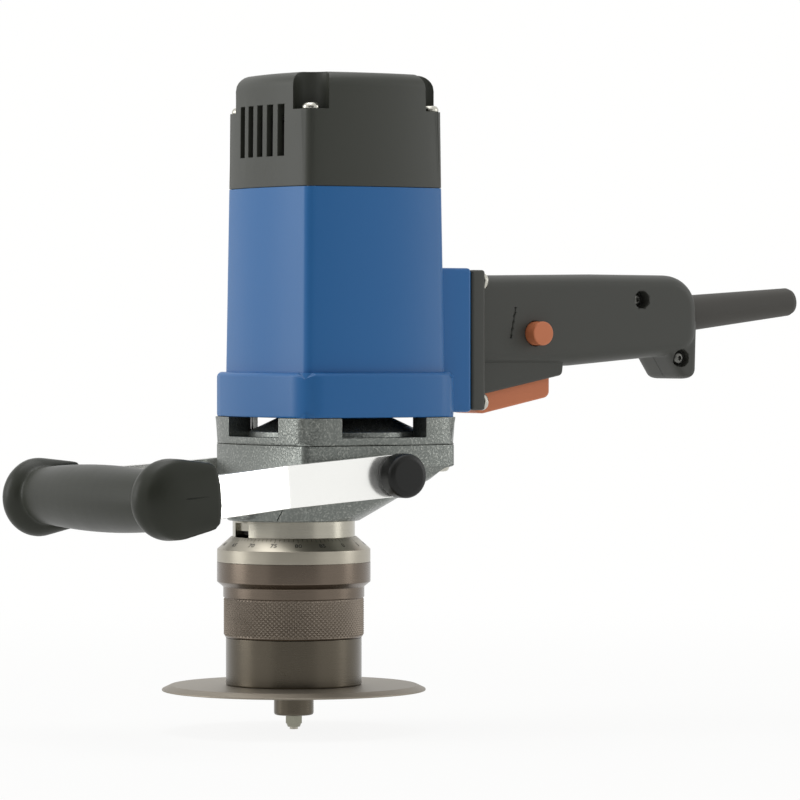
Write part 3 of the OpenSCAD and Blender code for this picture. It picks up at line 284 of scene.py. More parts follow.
def combined(obj, tools):
    """Joins and cuts an object with tools, each a pair: UNION or DIFFERENCE, and its bmesh."""
    helpers = [loose_object("tool", tool) for _, tool in tools]
    for (operation, _), helper in zip(tools, helpers):
        cut = obj.modifiers.new("cut", "BOOLEAN")
        cut.operation, cut.object, cut.solver = operation, helper, "EXACT"
    applied(obj)
    for helper in helpers:
        bpy.data.objects.remove(helper)
    return obj


def cuts(*tools):
    return [("DIFFERENCE", tool) for tool in tools]


def joins(*tools):
    return [("UNION", tool) for tool in tools]


def piece(name, bm, body, material, stands_for=(), tools=(), broken=0.0, sharp=34.0):
    """Makes a finished piece of bm and its tools, with broken edges, and puts it on its body.
    Edges that turn by more than sharp degrees stay crisp."""
    obj = combined(loose_object(name, bm), tools)
    if broken:
        edge = obj.modifiers.new("edge", "BEVEL")
        edge.width, edge.segments, edge.limit_method = broken, 2, "ANGLE"
        edge.angle_limit, edge.use_clamp_overlap = math.radians(38), False
        applied(obj)
    bm = bmesh.new()
    bm.from_mesh(obj.data)
    for face in bm.faces:
        face.smooth, face.material_index = True, 0
    for edge in bm.edges:
        edge.smooth = len(edge.link_faces) == 2 and edge.calc_face_angle() < math.radians(sharp)
    bm.to_mesh(obj.data)
    bm.free()
    level = obj.modifiers.new("level", "WEIGHTED_NORMAL")
    level.keep_sharp = True
    applied(obj)
    obj.data.materials.clear()
    obj.data.materials.append(material)
    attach(obj, body)
    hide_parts(*stands_for)


def finished(finish, *names):
    """Gives pieces that are carried over as they are their finish."""
    for name in names:
        nodes[name].data.materials.clear()
        nodes[name].data.materials.append(finish)


plate_steel = metal_finish("plate_steel", srgb(150, 143, 131), srgb(122, 115, 104), rough=0.46)
dark_screw = plated_finish("dark_screw", srgb(112, 112, 108), 0.28)
PLATE_RADIUS, PLATE_FACE, PLATE_HOLE, PLATE_TOP = 0.066, 0.0618, 0.022, 0.0028
PLATE_SCREW_AT, SINK_Z, SINK_MOUTH, SINK_FOOT = 0.0283, 0.0009, 0.0036, 0.0018
countersinks = bmesh.new()
for corner in range(4):
    at_screw = rotate(45 + 90 * corner, "Z") @ shift(PLATE_SCREW_AT, 0, SINK_Z)
    for up, top_radius, depth in ((0, SINK_FOOT, 0.0021), (-0.002, SINK_MOUTH, 0.002)):
        bmesh.ops.create_cone(countersinks, cap_ends=True, segments=40, radius1=SINK_MOUTH,
                              radius2=top_radius, depth=depth, matrix=at_screw @ shift(0, 0, up))
piece("plate", turned([(PLATE_HOLE, 0), (PLATE_RADIUS, 0), (PLATE_RADIUS, 0.0008),
                       (PLATE_FACE, PLATE_TOP), (PLATE_HOLE, PLATE_TOP)], 0.0003),
      "guide", plate_steel, ["base_plate"], cuts(countersinks))
finished(dark_screw, "plate_screws")

# Guide sleeve: a turned steel tube with a closed foot, browned like the plate. It slides on the
# neck to set the depth, and a key in the neck's slot stops it from turning.
browned_steel = metal_finish("browned_steel", srgb(95, 89, 78), srgb(82, 76, 67), rough=0.27,
                             marks=0.000003)
spring_steel = plated_finish("spring_steel", srgb(150, 150, 146), 0.25)
SLEEVE_RADIUS, SLEEVE_BORE, SLEEVE_STEP = 0.03395, 0.03068, 0.0326
SHOULDER_Z, SLEEVE_TOP = 0.0265, 0.0587
SLEEVE_HOLE, SLEEVE_FLOOR = PLATE_HOLE + 0.0004, 0.0078
piece("sleeve", turned([(SLEEVE_HOLE, PLATE_TOP), (SLEEVE_RADIUS - 0.0003, PLATE_TOP),
                        (SLEEVE_RADIUS, PLATE_TOP + 0.0006), (SLEEVE_RADIUS, SHOULDER_Z),
                        (SLEEVE_STEP, SHOULDER_Z), (SLEEVE_STEP, SLEEVE_TOP),
                        (SLEEVE_BORE, SLEEVE_TOP), (SLEEVE_BORE, SLEEVE_FLOOR),
                        (SLEEVE_HOLE, SLEEVE_FLOOR)], 0.00025),
      "guide", browned_steel, ["guide_sleeve"])
finished(spring_steel, "guide_key", "retaining_wire")

# Adjusting ring: turned steel with a diamond knurl rolled into its lower band for the fingers. It
# runs on the neck's thread and carries the sleeve up and down.
browned_ring = metal_finish("browned_ring", srgb(114, 103, 92), srgb(95, 86, 77), rough=0.27,
                            marks=0.000003)
rolled_ring = metal_finish("rolled_ring", srgb(148, 138, 126), srgb(117, 108, 99), rough=0.4)
KNURL_RADIUS, KNURL_LOW, KNURL_HIGH, KNURL_PITCH = 0.03515, 0.0275, 0.0465, 0.0024
KNURL_FLOOR, KNURL_SQUASH = KNURL_RADIUS - 0.0006, 0.85
LAND_RADIUS, LAND_TOP, FLANGE_RADIUS, FLANGE_LOW = 0.0353, 0.052, 0.0384, 0.0545
RING_FOOT, RING_TOP, RING_BORE, RING_MOUTH = 0.0266, 0.0644, 0.03268, 0.0308
GROOVE_RADIUS, GROOVE_LOW, GROOVE_HIGH = 0.0338, 0.0546, 0.059
piece("ring", turned([(RING_BORE, RING_FOOT), (SLEEVE_RADIUS + 0.0001, RING_FOOT),
                      (KNURL_FLOOR, KNURL_LOW), (KNURL_FLOOR, KNURL_HIGH),
                      (LAND_RADIUS, KNURL_HIGH + 0.0003), (LAND_RADIUS, LAND_TOP),
                      (FLANGE_RADIUS, FLANGE_LOW), (FLANGE_RADIUS, RING_TOP),
                      (RING_MOUTH, RING_TOP), (RING_MOUTH, GROOVE_HIGH), (GROOVE_RADIUS, GROOVE_HIGH),
                      (GROOVE_RADIUS, GROOVE_LOW), (RING_BORE, GROOVE_LOW)], 0.00025),
      "adjuster", browned_ring, ["adjusting_ring"])

# The knurl is a flat lattice of pyramids, laid slantwise, trimmed and rolled round the ring.
around = round(2 * math.pi * KNURL_RADIUS / KNURL_PITCH)
height = KNURL_HIGH - KNURL_LOW
rows = round(height / (KNURL_PITCH * KNURL_SQUASH))
knurl = bmesh.new()
bmesh.ops.create_grid(knurl, x_segments=around + rows, y_segments=around + rows, size=0.5)
for matrix in (Matrix.Scale(around + rows, 4), rotate(45, "Z"), Matrix.Scale(math.sqrt(0.5), 4)):
    bmesh.ops.transform(knurl, verts=knurl.verts, matrix=matrix)
for where, normal in (((around / 2, 0, 0), (1, 0, 0)), ((-around / 2, 0, 0), (-1, 0, 0)),
                      ((0, rows / 2, 0), (0, 1, 0)), ((0, -rows / 2, 0), (0, -1, 0))):
    bmesh.ops.bisect_plane(knurl, geom=knurl.verts[:] + knurl.edges[:] + knurl.faces[:], dist=1e-5,
                           plane_co=where, plane_no=normal, clear_outer=True)
whole = [f for f in knurl.faces if len(f.verts) == 4]
peaks = set(bmesh.ops.poke(knurl, faces=whole)["verts"])
for vert in knurl.verts:
    angle = 2 * math.pi * vert.co.x / around
    radius = KNURL_RADIUS if vert in peaks else KNURL_FLOOR
    vert.co = (radius * math.sin(angle), -radius * math.cos(angle),
               (KNURL_LOW + KNURL_HIGH) / 2 + vert.co.y * height / rows)
piece("knurl", knurl, "adjuster", rolled_ring, sharp=15)

# Scale ring: bright turned steel pressed on the adjusting ring. Its cone is engraved with a line
# for every division and a number for every fifth, filled with black.
turned_steel = metal_finish("turned_steel", srgb(182, 178, 165), srgb(146, 143, 132), rough=0.24)
satin_steel = metal_finish("satin_steel", srgb(180, 174, 160), srgb(146, 141, 129), rough=0.33)
engraved_black, fill = start_finish("engraved_black")
shaded(fill, {"Base Color": srgb(30, 29, 26), "Roughness": 0.6})
SCALE_RADIUS, SCALE_EDGE, SCALE_BORE = 0.03835, 0.07075, 0.0309
CONE_RADIUS, SCALE_TOP = 0.0314, 0.077
CONE_SLOPE = math.atan2(SCALE_TOP - SCALE_EDGE, SCALE_RADIUS - CONE_RADIUS)
DIVISIONS, ZERO_AT, MARK_PROUD = 90, 13, 0.00002
LONG_MARK, SHORT_MARK, MARK_WIDTH, MARK_DOWN = 0.0028, 0.0018, 0.00024, 0.0004
NUMBER_SIZE, NUMBER_BOLD, NUMBER_DOWN = 0.0036, 0.00006, 0.0053
piece("scale", turned([(SCALE_BORE, RING_TOP), (SCALE_RADIUS, RING_TOP), (SCALE_RADIUS, SCALE_EDGE),
                       (CONE_RADIUS, SCALE_TOP), (SCALE_BORE, SCALE_TOP)], 0.0002),
      "adjuster", satin_steel, ["scale_ring"])


def on_cone(degrees, down):
    """A frame on the cone, down metres below its top edge: X round it, Y up it, Z out of it."""
    return (rotate(degrees, "Z") @ shift(0, -CONE_RADIUS - down * math.cos(CONE_SLOPE),
                                         SCALE_TOP - down * math.sin(CONE_SLOPE))
            @ Matrix.Rotation(CONE_SLOPE, 4, "X") @ shift(0, 0, MARK_PROUD))


marks = bmesh.new()
for division in range(DIVISIONS):
    degrees = ZERO_AT + division * 360 / DIVISIONS
    fifth = division % 5 == 0
    long = LONG_MARK if fifth else SHORT_MARK
    bmesh.ops.create_grid(marks, x_segments=1, y_segments=1, size=0.5, matrix=on_cone(
        degrees, long / 2 + MARK_DOWN) @ Matrix.Diagonal((MARK_WIDTH, long, 1, 1)))
    if fifth:
        number = bpy.data.curves.new("number", "FONT")
        number.body, number.size, number.resolution_u = str(division), NUMBER_SIZE, 2
        number.offset = NUMBER_BOLD
        number.align_x = number.align_y = "CENTER"
        words = shown("number", number)
        flat = as_mesh(words)
        flat.transform(on_cone(degrees, NUMBER_DOWN))
        marks.from_mesh(flat)
        bpy.data.objects.remove(words)
piece("scale_marks", marks, "adjuster", engraved_black)

# Neck: a bright ground steel tube fixed in the foot of the gear case, with the long slot for the
# guide key. The adjusting ring and the sleeve ride on it.
finished(turned_steel, "neck_tube")

# Spindle and cutter: a ground steel spindle on a ball bearing and a bronze bush, with the milling
# head, its four carbide inserts and the guide roller screwed up against its foot.
gear_steel = metal_finish("gear_steel", srgb(148, 148, 144), srgb(118, 118, 114), rough=0.32)
carbide = plated_finish("carbide", srgb(190, 160, 84), 0.3)
bronze = metal_finish("bronze", srgb(176, 132, 78), srgb(142, 104, 60), rough=0.34)
bearing_steel = plated_finish("bearing_steel", srgb(186, 186, 182), 0.16)
dull_zinc = plated_finish("dull_zinc", srgb(146, 145, 131), 0.28)
finished(turned_steel, "spindle", "roller_bush")
finished(gear_steel, "cutter_head", "drive_gear")
finished(carbide, "cutter_inserts")
finished(bronze, "spindle_bush")
finished(bearing_steel, "spindle_bearing_ring", "spindle_bearing_race")
finished(dark_screw, "insert_screws", "gear_key")
finished(spring_steel, "gear_circlip")
finished(browned_steel, "guide_roller")
finished(dull_zinc, "lock_nut")


# Gear case: cast light alloy in grey hammer paint, square under the motor and drawn in to the neck,
# with a machined boss on each side for the front handle's studs.
def cast_finish(name, colour, painted_glint_colour):
    """Paint over rough sand casting: grains a millimetre across, the tallest given a paler colour as
    painted glints of light.
    """
    material, sock = start_finish(name)
    grains, lumps = noise(sock, 950.0, 2.0), noise(sock, 210.0, 3.0)
    # Painted highlight: the tallest grains are mixed towards the paler colour, which stands in for
    # light glinting off them.
    painted_glints = sock.node("ShaderNodeMapRange", {"Value": grains, "From Min": 0.5, "From Max": 0.8})
    shaded(sock, {"Base Color": mixed(sock, painted_glints * 0.8, colour, painted_glint_colour), "Metallic": 0.7,
                  "Roughness": 0.31 - 0.08 * painted_glints,
                  "Normal": bumped(sock, 0.8, 0.00022, grains + lumps * 0.5)})
    return material


def cage(levels):
    """A cube from -1 to 1, in upright strips and that many levels, and its corner edges."""
    bm = bmesh.new()
    bmesh.ops.create_cube(bm, size=2)
    upright = [e for e in bm.edges if abs(e.verts[0].co.z - e.verts[1].co.z) > 1]
    level = [e for e in bm.edges if e not in upright]
    bmesh.ops.subdivide_edges(bm, edges=level, cuts=STRIPS - 1, use_grid_fill=True)
    if levels > 2:
        upright = [e for e in bm.edges if abs(e.verts[0].co.z - e.verts[1].co.z) > 1]
        bmesh.ops.subdivide_edges(bm, edges=upright, cuts=levels - 2)
    corners = [e for e in bm.edges if all(min(abs(v.co.x), abs(v.co.y)) > 0.999 for v in e.verts)]
    return bm, corners


def bowed_block(bulge, levels):
    """An upright block with bowed sides on the motor axis, through (height, half width) levels."""
    bm, corners = cage(len(levels))
    for vert in bm.verts:
        x, y, up = vert.co
        z, half = levels[round((up + 1) / 2 * (len(levels) - 1))]
        vert.co = (MOTOR_X + x * (half + bulge * (1 - y * y)), y * (half + bulge * (1 - x * x)), z)
    bmesh.ops.bevel(bm, geom=corners, offset=EDGE_RADIUS, segments=5, profile=0.5, affect="EDGES",
                    material=-1, clamp_overlap=True)
    return bm


def rod(start, end, radius, segments=48):
    """A plain round bar between two points, used for bores and bosses."""
    bm = bmesh.new()
    start, end = Vector(start), Vector(end)
    lie = (end - start).to_track_quat("Z", "Y").to_matrix().to_4x4()
    bmesh.ops.create_cone(bm, cap_ends=True, segments=segments, radius1=radius, radius2=radius,
                          depth=(end - start).length,
                          matrix=Matrix.Translation((start + end) / 2) @ lie)
    return bm


def bore(x, low, high, radius, segments=48):
    """An upright bar over a point of the middle line, to cut with."""
    return rod((x, 0, low), (x, 0, high), radius, segments)


def merged(parts):
    """One bmesh from several, for a tool that cuts or joins many places at once."""
    whole = bmesh.new()
    for part in parts:
        mesh = bpy.data.meshes.new("part")
        part.to_mesh(mesh)
        part.free()
        whole.from_mesh(mesh)
        bpy.data.meshes.remove(mesh)
    return whole


def verts_of(geom):
    return [g for g in geom if isinstance(g, bmesh.types.BMVert)]


def wrapped(bm):
    """Stretches a skin over all corners of a bmesh and drops those that are inside it."""
    hull = bmesh.ops.convex_hull(bm, input=bm.verts[:])
    bmesh.ops.delete(bm, geom=verts_of(hull["geom_interior"]), context="VERTS")


def four_corners(reach):
    """The corners of a square round the motor axis, that far from it each way."""
    return [(MOTOR_X + sx * reach, sy * reach) for sx in (-1, 1) for sy in (-1, 1)]


def corner_bars(reach, low, high, radius):
    """Four upright bars at those corners."""
    return merged([rod((x, y, low), (x, y, high), radius, 64) for x, y in four_corners(reach)])


# The second colour is the painted glint colour: light painted onto the tallest grains of the cast
# finish.
cast_grey = cast_finish("cast_grey", srgb(112, 116, 112), srgb(176, 178, 171))
MOTOR_X, PIVOT_X, PIVOT_Z, EDGE_RADIUS, STRIPS = 0.024, 0.027, 0.1083, 0.003, 16
CASE_FOOT, CASE_WALL, CASE_TOP, CASE_HALF, CASE_BULGE = 0.0851, 0.1125, 0.123, 0.044, 0.0042
SEAT_RADIUS, SEAT_HEIGHT, CASE_SCREW_AT, POCKET_RADIUS = 0.0335, 0.0012, 0.0385, 0.0054
BOSS_FACE, BOSS_RADIUS = 0.0492, 0.0105
UNDER_CASE, OVER_CASE = 0.08, 0.13
NECK_SEAT, NECK_SEAT_TOP, GEAR_SPACE, GEAR_SPACE_LOW = 0.0281, 0.1, 0.0209, 0.0995
PINION_SPACE, PINION_SPACE_LOW = 0.009, 0.103
wall_block = bowed_block(CASE_BULGE, [(CASE_WALL, CASE_HALF), (CASE_TOP - 0.0001, CASE_HALF)])
slope = bowed_block(CASE_BULGE, [(CASE_WALL, CASE_HALF), (CASE_WALL + 0.0001, CASE_HALF)])
bmesh.ops.create_cone(slope, cap_ends=False, segments=96, radius1=SEAT_RADIUS - 0.0005,
                      radius2=SEAT_RADIUS, depth=SEAT_HEIGHT,
                      matrix=shift(0, 0, CASE_FOOT + SEAT_HEIGHT / 2))
bmesh.ops.delete(slope, geom=slope.edges[:] + slope.faces[:], context="EDGES_FACES")
wrapped(slope)
bosses = rod((PIVOT_X, -BOSS_FACE, PIVOT_Z), (PIVOT_X, BOSS_FACE, PIVOT_Z), BOSS_RADIUS)
piece("case", slope, "housing", cast_grey, ["gear_case"],
      joins(wall_block, bosses)
      + cuts(corner_bars(CASE_SCREW_AT, UNDER_CASE, CASE_WALL, POCKET_RADIUS),
             bore(0, UNDER_CASE, NECK_SEAT_TOP, NECK_SEAT, 96),
             bore(0, GEAR_SPACE_LOW, OVER_CASE, GEAR_SPACE, 96),
             bore(MOTOR_X, PINION_SPACE_LOW, OVER_CASE, PINION_SPACE)), broken=0.0005)


# Bearing flange: a second casting between the gear case and the motor. It holds the lower motor
# bearing, and lets the fan's air out through a window in each side, over a cone that turns it
# outwards.
def box(low, high, rounding=0.0, segments=3):
    bm = bmesh.new()
    bmesh.ops.create_cube(bm, size=1)
    low, high = Vector(low), Vector(high)
    middle, size = (low + high) / 2, high - low
    bmesh.ops.transform(bm, verts=bm.verts,
                        matrix=Matrix.Translation(middle) @ Matrix.Diagonal((*size, 1)))
    if rounding:
        bmesh.ops.bevel(bm, geom=bm.edges[:], offset=rounding, segments=segments, profile=0.5,
                        affect="EDGES", material=-1, clamp_overlap=True)
    return bm


def moved(bm, matrix):
    bmesh.ops.transform(bm, verts=bm.verts, matrix=matrix)
    return bm


FLANGE_HALF, HOUSING_Z, SILL_Z, WINDOW_HALF = 0.0446, 0.1367, 0.1268, 0.0244
FAN_SPACE, BEARING_SEAT, SHAFT_HOLE, SPINDLE_HOLE = 0.0425, 0.0161, 0.011, 0.0071
BEARING_SEAT_LOW, SHAFT_HOLE_TOP, SPINDLE_HOLE_TOP = 0.125, 0.13, 0.1345
DEFLECTOR_LOW, DEFLECTOR_HIGH, DEFLECTOR_REACH, DEFLECTOR_TOP = -0.001, 0.0026, 0.043, 0.028
UNDER_FLANGE, OVER_FLANGE, PAST_SIDES = 0.12, 0.15, 0.1
AT_MOTOR = shift(MOTOR_X, 0, 0)
flange = bowed_block(CASE_BULGE, [(CASE_TOP, FLANGE_HALF - 0.0004),
                                  (CASE_TOP + 0.0004, FLANGE_HALF),
                                  (HOUSING_Z - 0.0001, FLANGE_HALF)])
windows = [moved(box((-x, -y, SILL_Z), (x, y, OVER_FLANGE)), AT_MOTOR)
           for x, y in ((PAST_SIDES, WINDOW_HALF), (WINDOW_HALF, PAST_SIDES))]
deflector = turned([(0, SILL_Z + DEFLECTOR_LOW), (DEFLECTOR_REACH, SILL_Z + DEFLECTOR_LOW),
                    (DEFLECTOR_REACH, SILL_Z + DEFLECTOR_HIGH), (DEFLECTOR_TOP, HOUSING_Z - 0.0002),
                    (0, HOUSING_Z - 0.0002)], 0.0006, 96)
shaft_holes = merged([bore(MOTOR_X, BEARING_SEAT_LOW, OVER_FLANGE, BEARING_SEAT),
                      bore(0, UNDER_FLANGE, SPINDLE_HOLE_TOP, SPINDLE_HOLE),
                      bore(MOTOR_X, UNDER_FLANGE, SHAFT_HOLE_TOP, SHAFT_HOLE)])
piece("flange", flange, "housing", cast_grey, ["bearing_flange"],
      cuts(*windows, bore(MOTOR_X, SILL_Z, OVER_FLANGE, FAN_SPACE, 96))
      + joins(moved(deflector, AT_MOTOR)) + cuts(shaft_holes), broken=0.0004)


# Case screws: zinc-plated pan heads under the corners of the gear case, which pull the case and the
# flange up against the motor housing.
def screw_mesh(shank, radius=0.0025, head=0.0044, height=0.0032):
    """A domed screw with its head on z = 0 and a six-lobed recess, as a mesh to be placed."""
    bm = turned([(0, -shank), (radius, -shank), (radius, 0), (head, 0), (head, height * 0.45),
                 (head * 0.8, height * 0.86), (head * 0.45, height), (0, height)],
                height * 0.12, 40, 3)
    recess = bmesh.new()
    bmesh.ops.create_circle(recess, cap_ends=True, segments=24, radius=head * 0.42)
    for number, vert in enumerate(recess.verts):
        vert.co *= 1.0 if number % 4 in (0, 1) else 0.74
    deep = bmesh.ops.extrude_face_region(recess, geom=recess.faces[:])["geom"]
    bmesh.ops.translate(recess, verts=verts_of(deep), vec=(0, 0, height))
    bmesh.ops.translate(recess, verts=recess.verts, vec=(0, 0, height * 0.45))
    screw = combined(loose_object("screw", bm), cuts(recess))
    mesh = screw.data
    bpy.data.objects.remove(screw)
    return mesh


def placed_screws(mesh, places):
    bm = bmesh.new()
    for place in places:
        copy = mesh.copy()
        copy.transform(place)
        bm.from_mesh(copy)
        bpy.data.meshes.remove(copy)
    return bm


zinc = plated_finish("zinc_screw", srgb(196, 194, 184), 0.2)
CASE_SCREW_LENGTH = 0.0358
piece("case_screws", placed_screws(screw_mesh(CASE_SCREW_LENGTH), [
    shift(x, y, CASE_WALL) @ rotate(180, "X") for x, y in four_corners(CASE_SCREW_AT)]),
    "housing", zinc, ["gear_case_screws"])


# Motor housing: one moulding in blue glass-filled plastic with a fine spark-eroded grain. Its skirt
# stands on the flange, and the block on its right side takes the main handle.
def moulded_finish(name, colour, rough=0.42, grain=2600.0, depth=0.00003, sheen=0.5):
    """Moulded plastic: fine even grain, a little paler and duller in faint clouds."""
    material, sock = start_finish(name)
    fine, cloud = noise(sock, grain, 2.0), noise(sock, 24.0, 5.0)
    dusty = tinted(colour, 0.985, 0.00525)
    shaded(sock, {"Base Color": mixed(sock, cloud * 0.7 + fine * 0.3, colour, dusty),
                  "Roughness": rough - 0.05 + cloud * 0.08 + fine * 0.05,
                  "Specular IOR Level": sheen, "Normal": bumped(sock, 0.6, depth, fine)})
    return material


blue_housing = moulded_finish("blue_housing", srgb(30, 102, 164), rough=0.36, sheen=0.4)
SKIRT_HALF, BODY_Z, BODY_HALF, CAP_Z, SIDE_BULGE = 0.0447, 0.159, 0.0405, 0.251, 0.0047
CAP_HALF, WALL = BODY_HALF - 0.0012, 0.003
SOCKET_X, SOCKET_HALF, SOCKET_LOW, SOCKET_HIGH = 0.0855, 0.032, 0.1387, 0.2113
UPPER_BORE = 0.0335
skirt = bowed_block(SIDE_BULGE, [
    (HOUSING_Z, SKIRT_HALF - 0.0008), (HOUSING_Z + 0.0003, SKIRT_HALF - 0.0002),
    (HOUSING_Z + 0.001, SKIRT_HALF), (BODY_Z - 0.0022, SKIRT_HALF),
    (BODY_Z - 0.0012, SKIRT_HALF - 0.0003), (BODY_Z - 0.0004, SKIRT_HALF - 0.0009),
    (BODY_Z, SKIRT_HALF - 0.002)])
barrel = bowed_block(SIDE_BULGE, [(BODY_Z - 0.002, BODY_HALF), (CAP_Z - 0.0002, CAP_HALF)])
socket_block = box((MOTOR_X + BODY_HALF - 0.006, -SOCKET_HALF, SOCKET_LOW),
                   (SOCKET_X, SOCKET_HALF, SOCKET_HIGH), 0.002, 4)
hollow = bowed_block(SIDE_BULGE, [(HOUSING_Z - 0.001, BODY_HALF - WALL),
                                  (CAP_Z - 0.004, CAP_HALF - WALL)])
piece("motor", skirt, "housing", blue_housing, ["motor_housing"],
      joins(barrel, socket_block)
      + cuts(hollow, bore(MOTOR_X, CAP_Z - 0.006, CAP_Z + 0.01, UPPER_BORE, 96)))

# Motor inside the housing: a laminated field core with two copper coils, and an armature that turns
# in it on two ball bearings, with its commutator, brushes and fan.
laminated_iron = metal_finish("laminated_iron", srgb(122, 120, 116), srgb(84, 82, 79), rough=0.5,
                              turning=2400.0)
copper = plated_finish("copper", srgb(196, 116, 72), 0.34)
brass = plated_finish("brass", srgb(200, 170, 96), 0.3)
carbon = moulded_finish("carbon", srgb(44, 44, 44), rough=0.6, sheen=0.3)
inner_plastic = moulded_finish("inner_plastic", srgb(60, 60, 58), rough=0.5, sheen=0.4)
finished(turned_steel, "armature_shaft")
finished(bearing_steel, "lower_bearing_ring", "lower_bearing_race", "upper_bearing_ring",
         "upper_bearing_race")
finished(laminated_iron, "field_core", "armature_core")
finished(copper, "field_coils", "armature_coils", "commutator")
finished(brass, "brush_holders")
finished(carbon, "carbon_brushes")
finished(inner_plastic, "brush_bridge", "cooling_fan")
finished(spring_steel, "brush_springs")
finished(zinc, "bridge_screws")

# Top cap: a black moulding over the brushes, with five cooling slots in the two end faces and a
# deep notch in each corner for its screw.
black_cap = moulded_finish("black_cap", srgb(55, 57, 50), rough=0.44, grain=1900.0, depth=0.00005,
                           sheen=0.4)
CAP_TOP, CAP_EDGE, CAP_DRAFT, CAP_CROWN = 0.3076, 0.007, 0.0005, 0.0365
CAP_SCREW_AT, CAP_SCREW_LENGTH, NOTCH_RADIUS, NOTCH_Z = 0.0346, 0.05, 0.009, 0.289
VENTS, VENT_PITCH, VENT_WIDTH, VENT_LOW, VENT_HIGH = 5, 0.0094, 0.0052, 0.2662, 0.2917
VENT_IN, VENT_OUT = 0.038, 0.056
rim = [(math.sin(math.radians(a)), 1 - math.cos(math.radians(a))) for a in range(0, 91, 15)]
cap = bowed_block(SIDE_BULGE, [(CAP_Z, CAP_HALF)] + [
    (CAP_TOP - CAP_EDGE + CAP_EDGE * up, CAP_HALF - CAP_DRAFT - CAP_EDGE * inwards)
    for up, inwards in rim])
cap_hollow = bowed_block(SIDE_BULGE, [(CAP_Z - 0.001, CAP_HALF - WALL),
                                      (NOTCH_Z - WALL, CAP_HALF - WALL - 0.0003)])
cap_crown = bore(MOTOR_X, NOTCH_Z - WALL - 0.001, CAP_TOP - WALL, CAP_CROWN, 96)
vents = []
for side in (-1, 1):
    for number in range(VENTS):
        y = (number - (VENTS - 1) / 2) * VENT_PITCH
        start, end = sorted((side * VENT_IN, side * VENT_OUT))
        slot = box((start, y - VENT_WIDTH / 2, VENT_LOW), (end, y + VENT_WIDTH / 2, VENT_HIGH))
        vents.append(moved(slot, AT_MOTOR))
piece("cap", cap, "housing", black_cap, ["top_cap"],
      cuts(cap_hollow, cap_crown, merged(vents),
           corner_bars(CAP_SCREW_AT, NOTCH_Z, CAP_TOP + 0.01, NOTCH_RADIUS)), broken=0.0004)
piece("cap_screw_heads", placed_screws(screw_mesh(CAP_SCREW_LENGTH), [
    shift(x, y, NOTCH_Z) for x, y in four_corners(CAP_SCREW_AT)]),
    "housing", zinc, ["cap_screws"])


# Main handle: two black nylon shells, split along the middle, with a square flange that is screwed
# to the motor housing, a deeper part round the switch, and a hook at the end for the hand.
def side_profile(corners, start_y=0.0):
    """A face in the XZ plane at y = start_y, from (x, z, radius) corners that are rounded so."""
    bm = bmesh.new()
    verts = [bm.verts.new((x, start_y, z)) for x, z, _ in corners]
    bm.faces.new(verts)
    count = len(corners)
    for number, (x, z, radius) in enumerate(corners):
        if radius:
            here, back = Vector((x, z)), Vector(corners[number - 1][:2])
            on = Vector(corners[(number + 1) % count][:2])
            bend = math.pi - (back - here).angle(on - here)
            bmesh.ops.bevel(bm, geom=[verts[number]], offset=radius * math.tan(bend / 2),
                            segments=8, profile=0.5, affect="VERTICES", material=-1,
                            clamp_overlap=False)
    return bm


def rounded_side(bm, width, rounding, inwards, steps):
    """Thickens a flat profile towards -Y to that width, with its outer rim rounded by insets."""
    face = bm.faces[:][0]
    if face.normal.y > 0:
        face.normal_flip()
    made = bmesh.ops.extrude_face_region(bm, geom=[face], use_keep_orig=True)["geom"]
    bmesh.ops.translate(bm, verts=verts_of(made), vec=(0, -(width - rounding), 0))
    rim = next(g for g in made if isinstance(g, bmesh.types.BMFace)
               and abs(g.calc_center_median().y) > 1e-5 and abs(g.normal.y) > 0.9)
    for step in range(steps):
        a, b = math.radians(90 * step / steps), math.radians(90 * (step + 1) / steps)
        bmesh.ops.inset_region(bm, faces=[rim], thickness=inwards * (math.cos(a) - math.cos(b)),
                               depth=rounding * (math.sin(b) - math.sin(a)), use_even_offset=True,
                               use_boundary=True)
    return bm


def other_side(bm):
    """Turns a half into the one on the other side of the middle plane."""
    bmesh.ops.scale(bm, vec=(1, -1, 1), verts=bm.verts)
    bmesh.ops.reverse_faces(bm, faces=bm.faces)
    return bm


def both_sides(profile, width, rounding, inwards, steps):
    """The near and the far half of a body from its side profile, a millimetre into each other."""
    near, far = [rounded_side(side_profile(profile, 0.001), width + 0.001, rounding, inwards, steps)
                 for _ in range(2)]
    return near, other_side(far)


def melted(bm, cell, rounds):
    """One smoothed skin over bodies that overlap, made of cells of that size."""
    obj = loose_object("melted", bm)
    skin = obj.modifiers.new("skin", "REMESH")
    skin.mode, skin.voxel_size = "VOXEL", cell
    soften = obj.modifiers.new("soften", "SMOOTH")
    soften.factor, soften.iterations = 0.5, rounds
    mesh = applied(obj).data
    bpy.data.objects.remove(obj)
    return mesh


def bm_of(mesh):
    bm = bmesh.new()
    bm.from_mesh(mesh)
    return bm


def handle_half(side):
    """One shell's grip, switch housing and flange, cut at the middle plane."""
    near, far = both_sides(SWITCH_PROFILE, SWITCH_HALF, 0.0016, 0.0014, 3)
    flange_plate = box((SOCKET_X + 0.0001, -SOCKET_HALF + 0.0001, FLANGE_LOW_Z),
                       (GRIP_X, SOCKET_HALF - 0.0001, FLANGE_HIGH_Z), 0.0014, 3)
    parts = [bm_of(grip_body), merged([near if side < 0 else far]), flange_plate]
    for part in parts:
        bmesh.ops.bisect_plane(part, geom=part.verts[:] + part.edges[:] + part.faces[:], dist=1e-6,
                               plane_co=(0, 0, 0), plane_no=(0, -side, 0), clear_outer=True)
        bmesh.ops.holes_fill(part, edges=[e for e in part.edges if e.is_boundary], sides=0)
    return parts


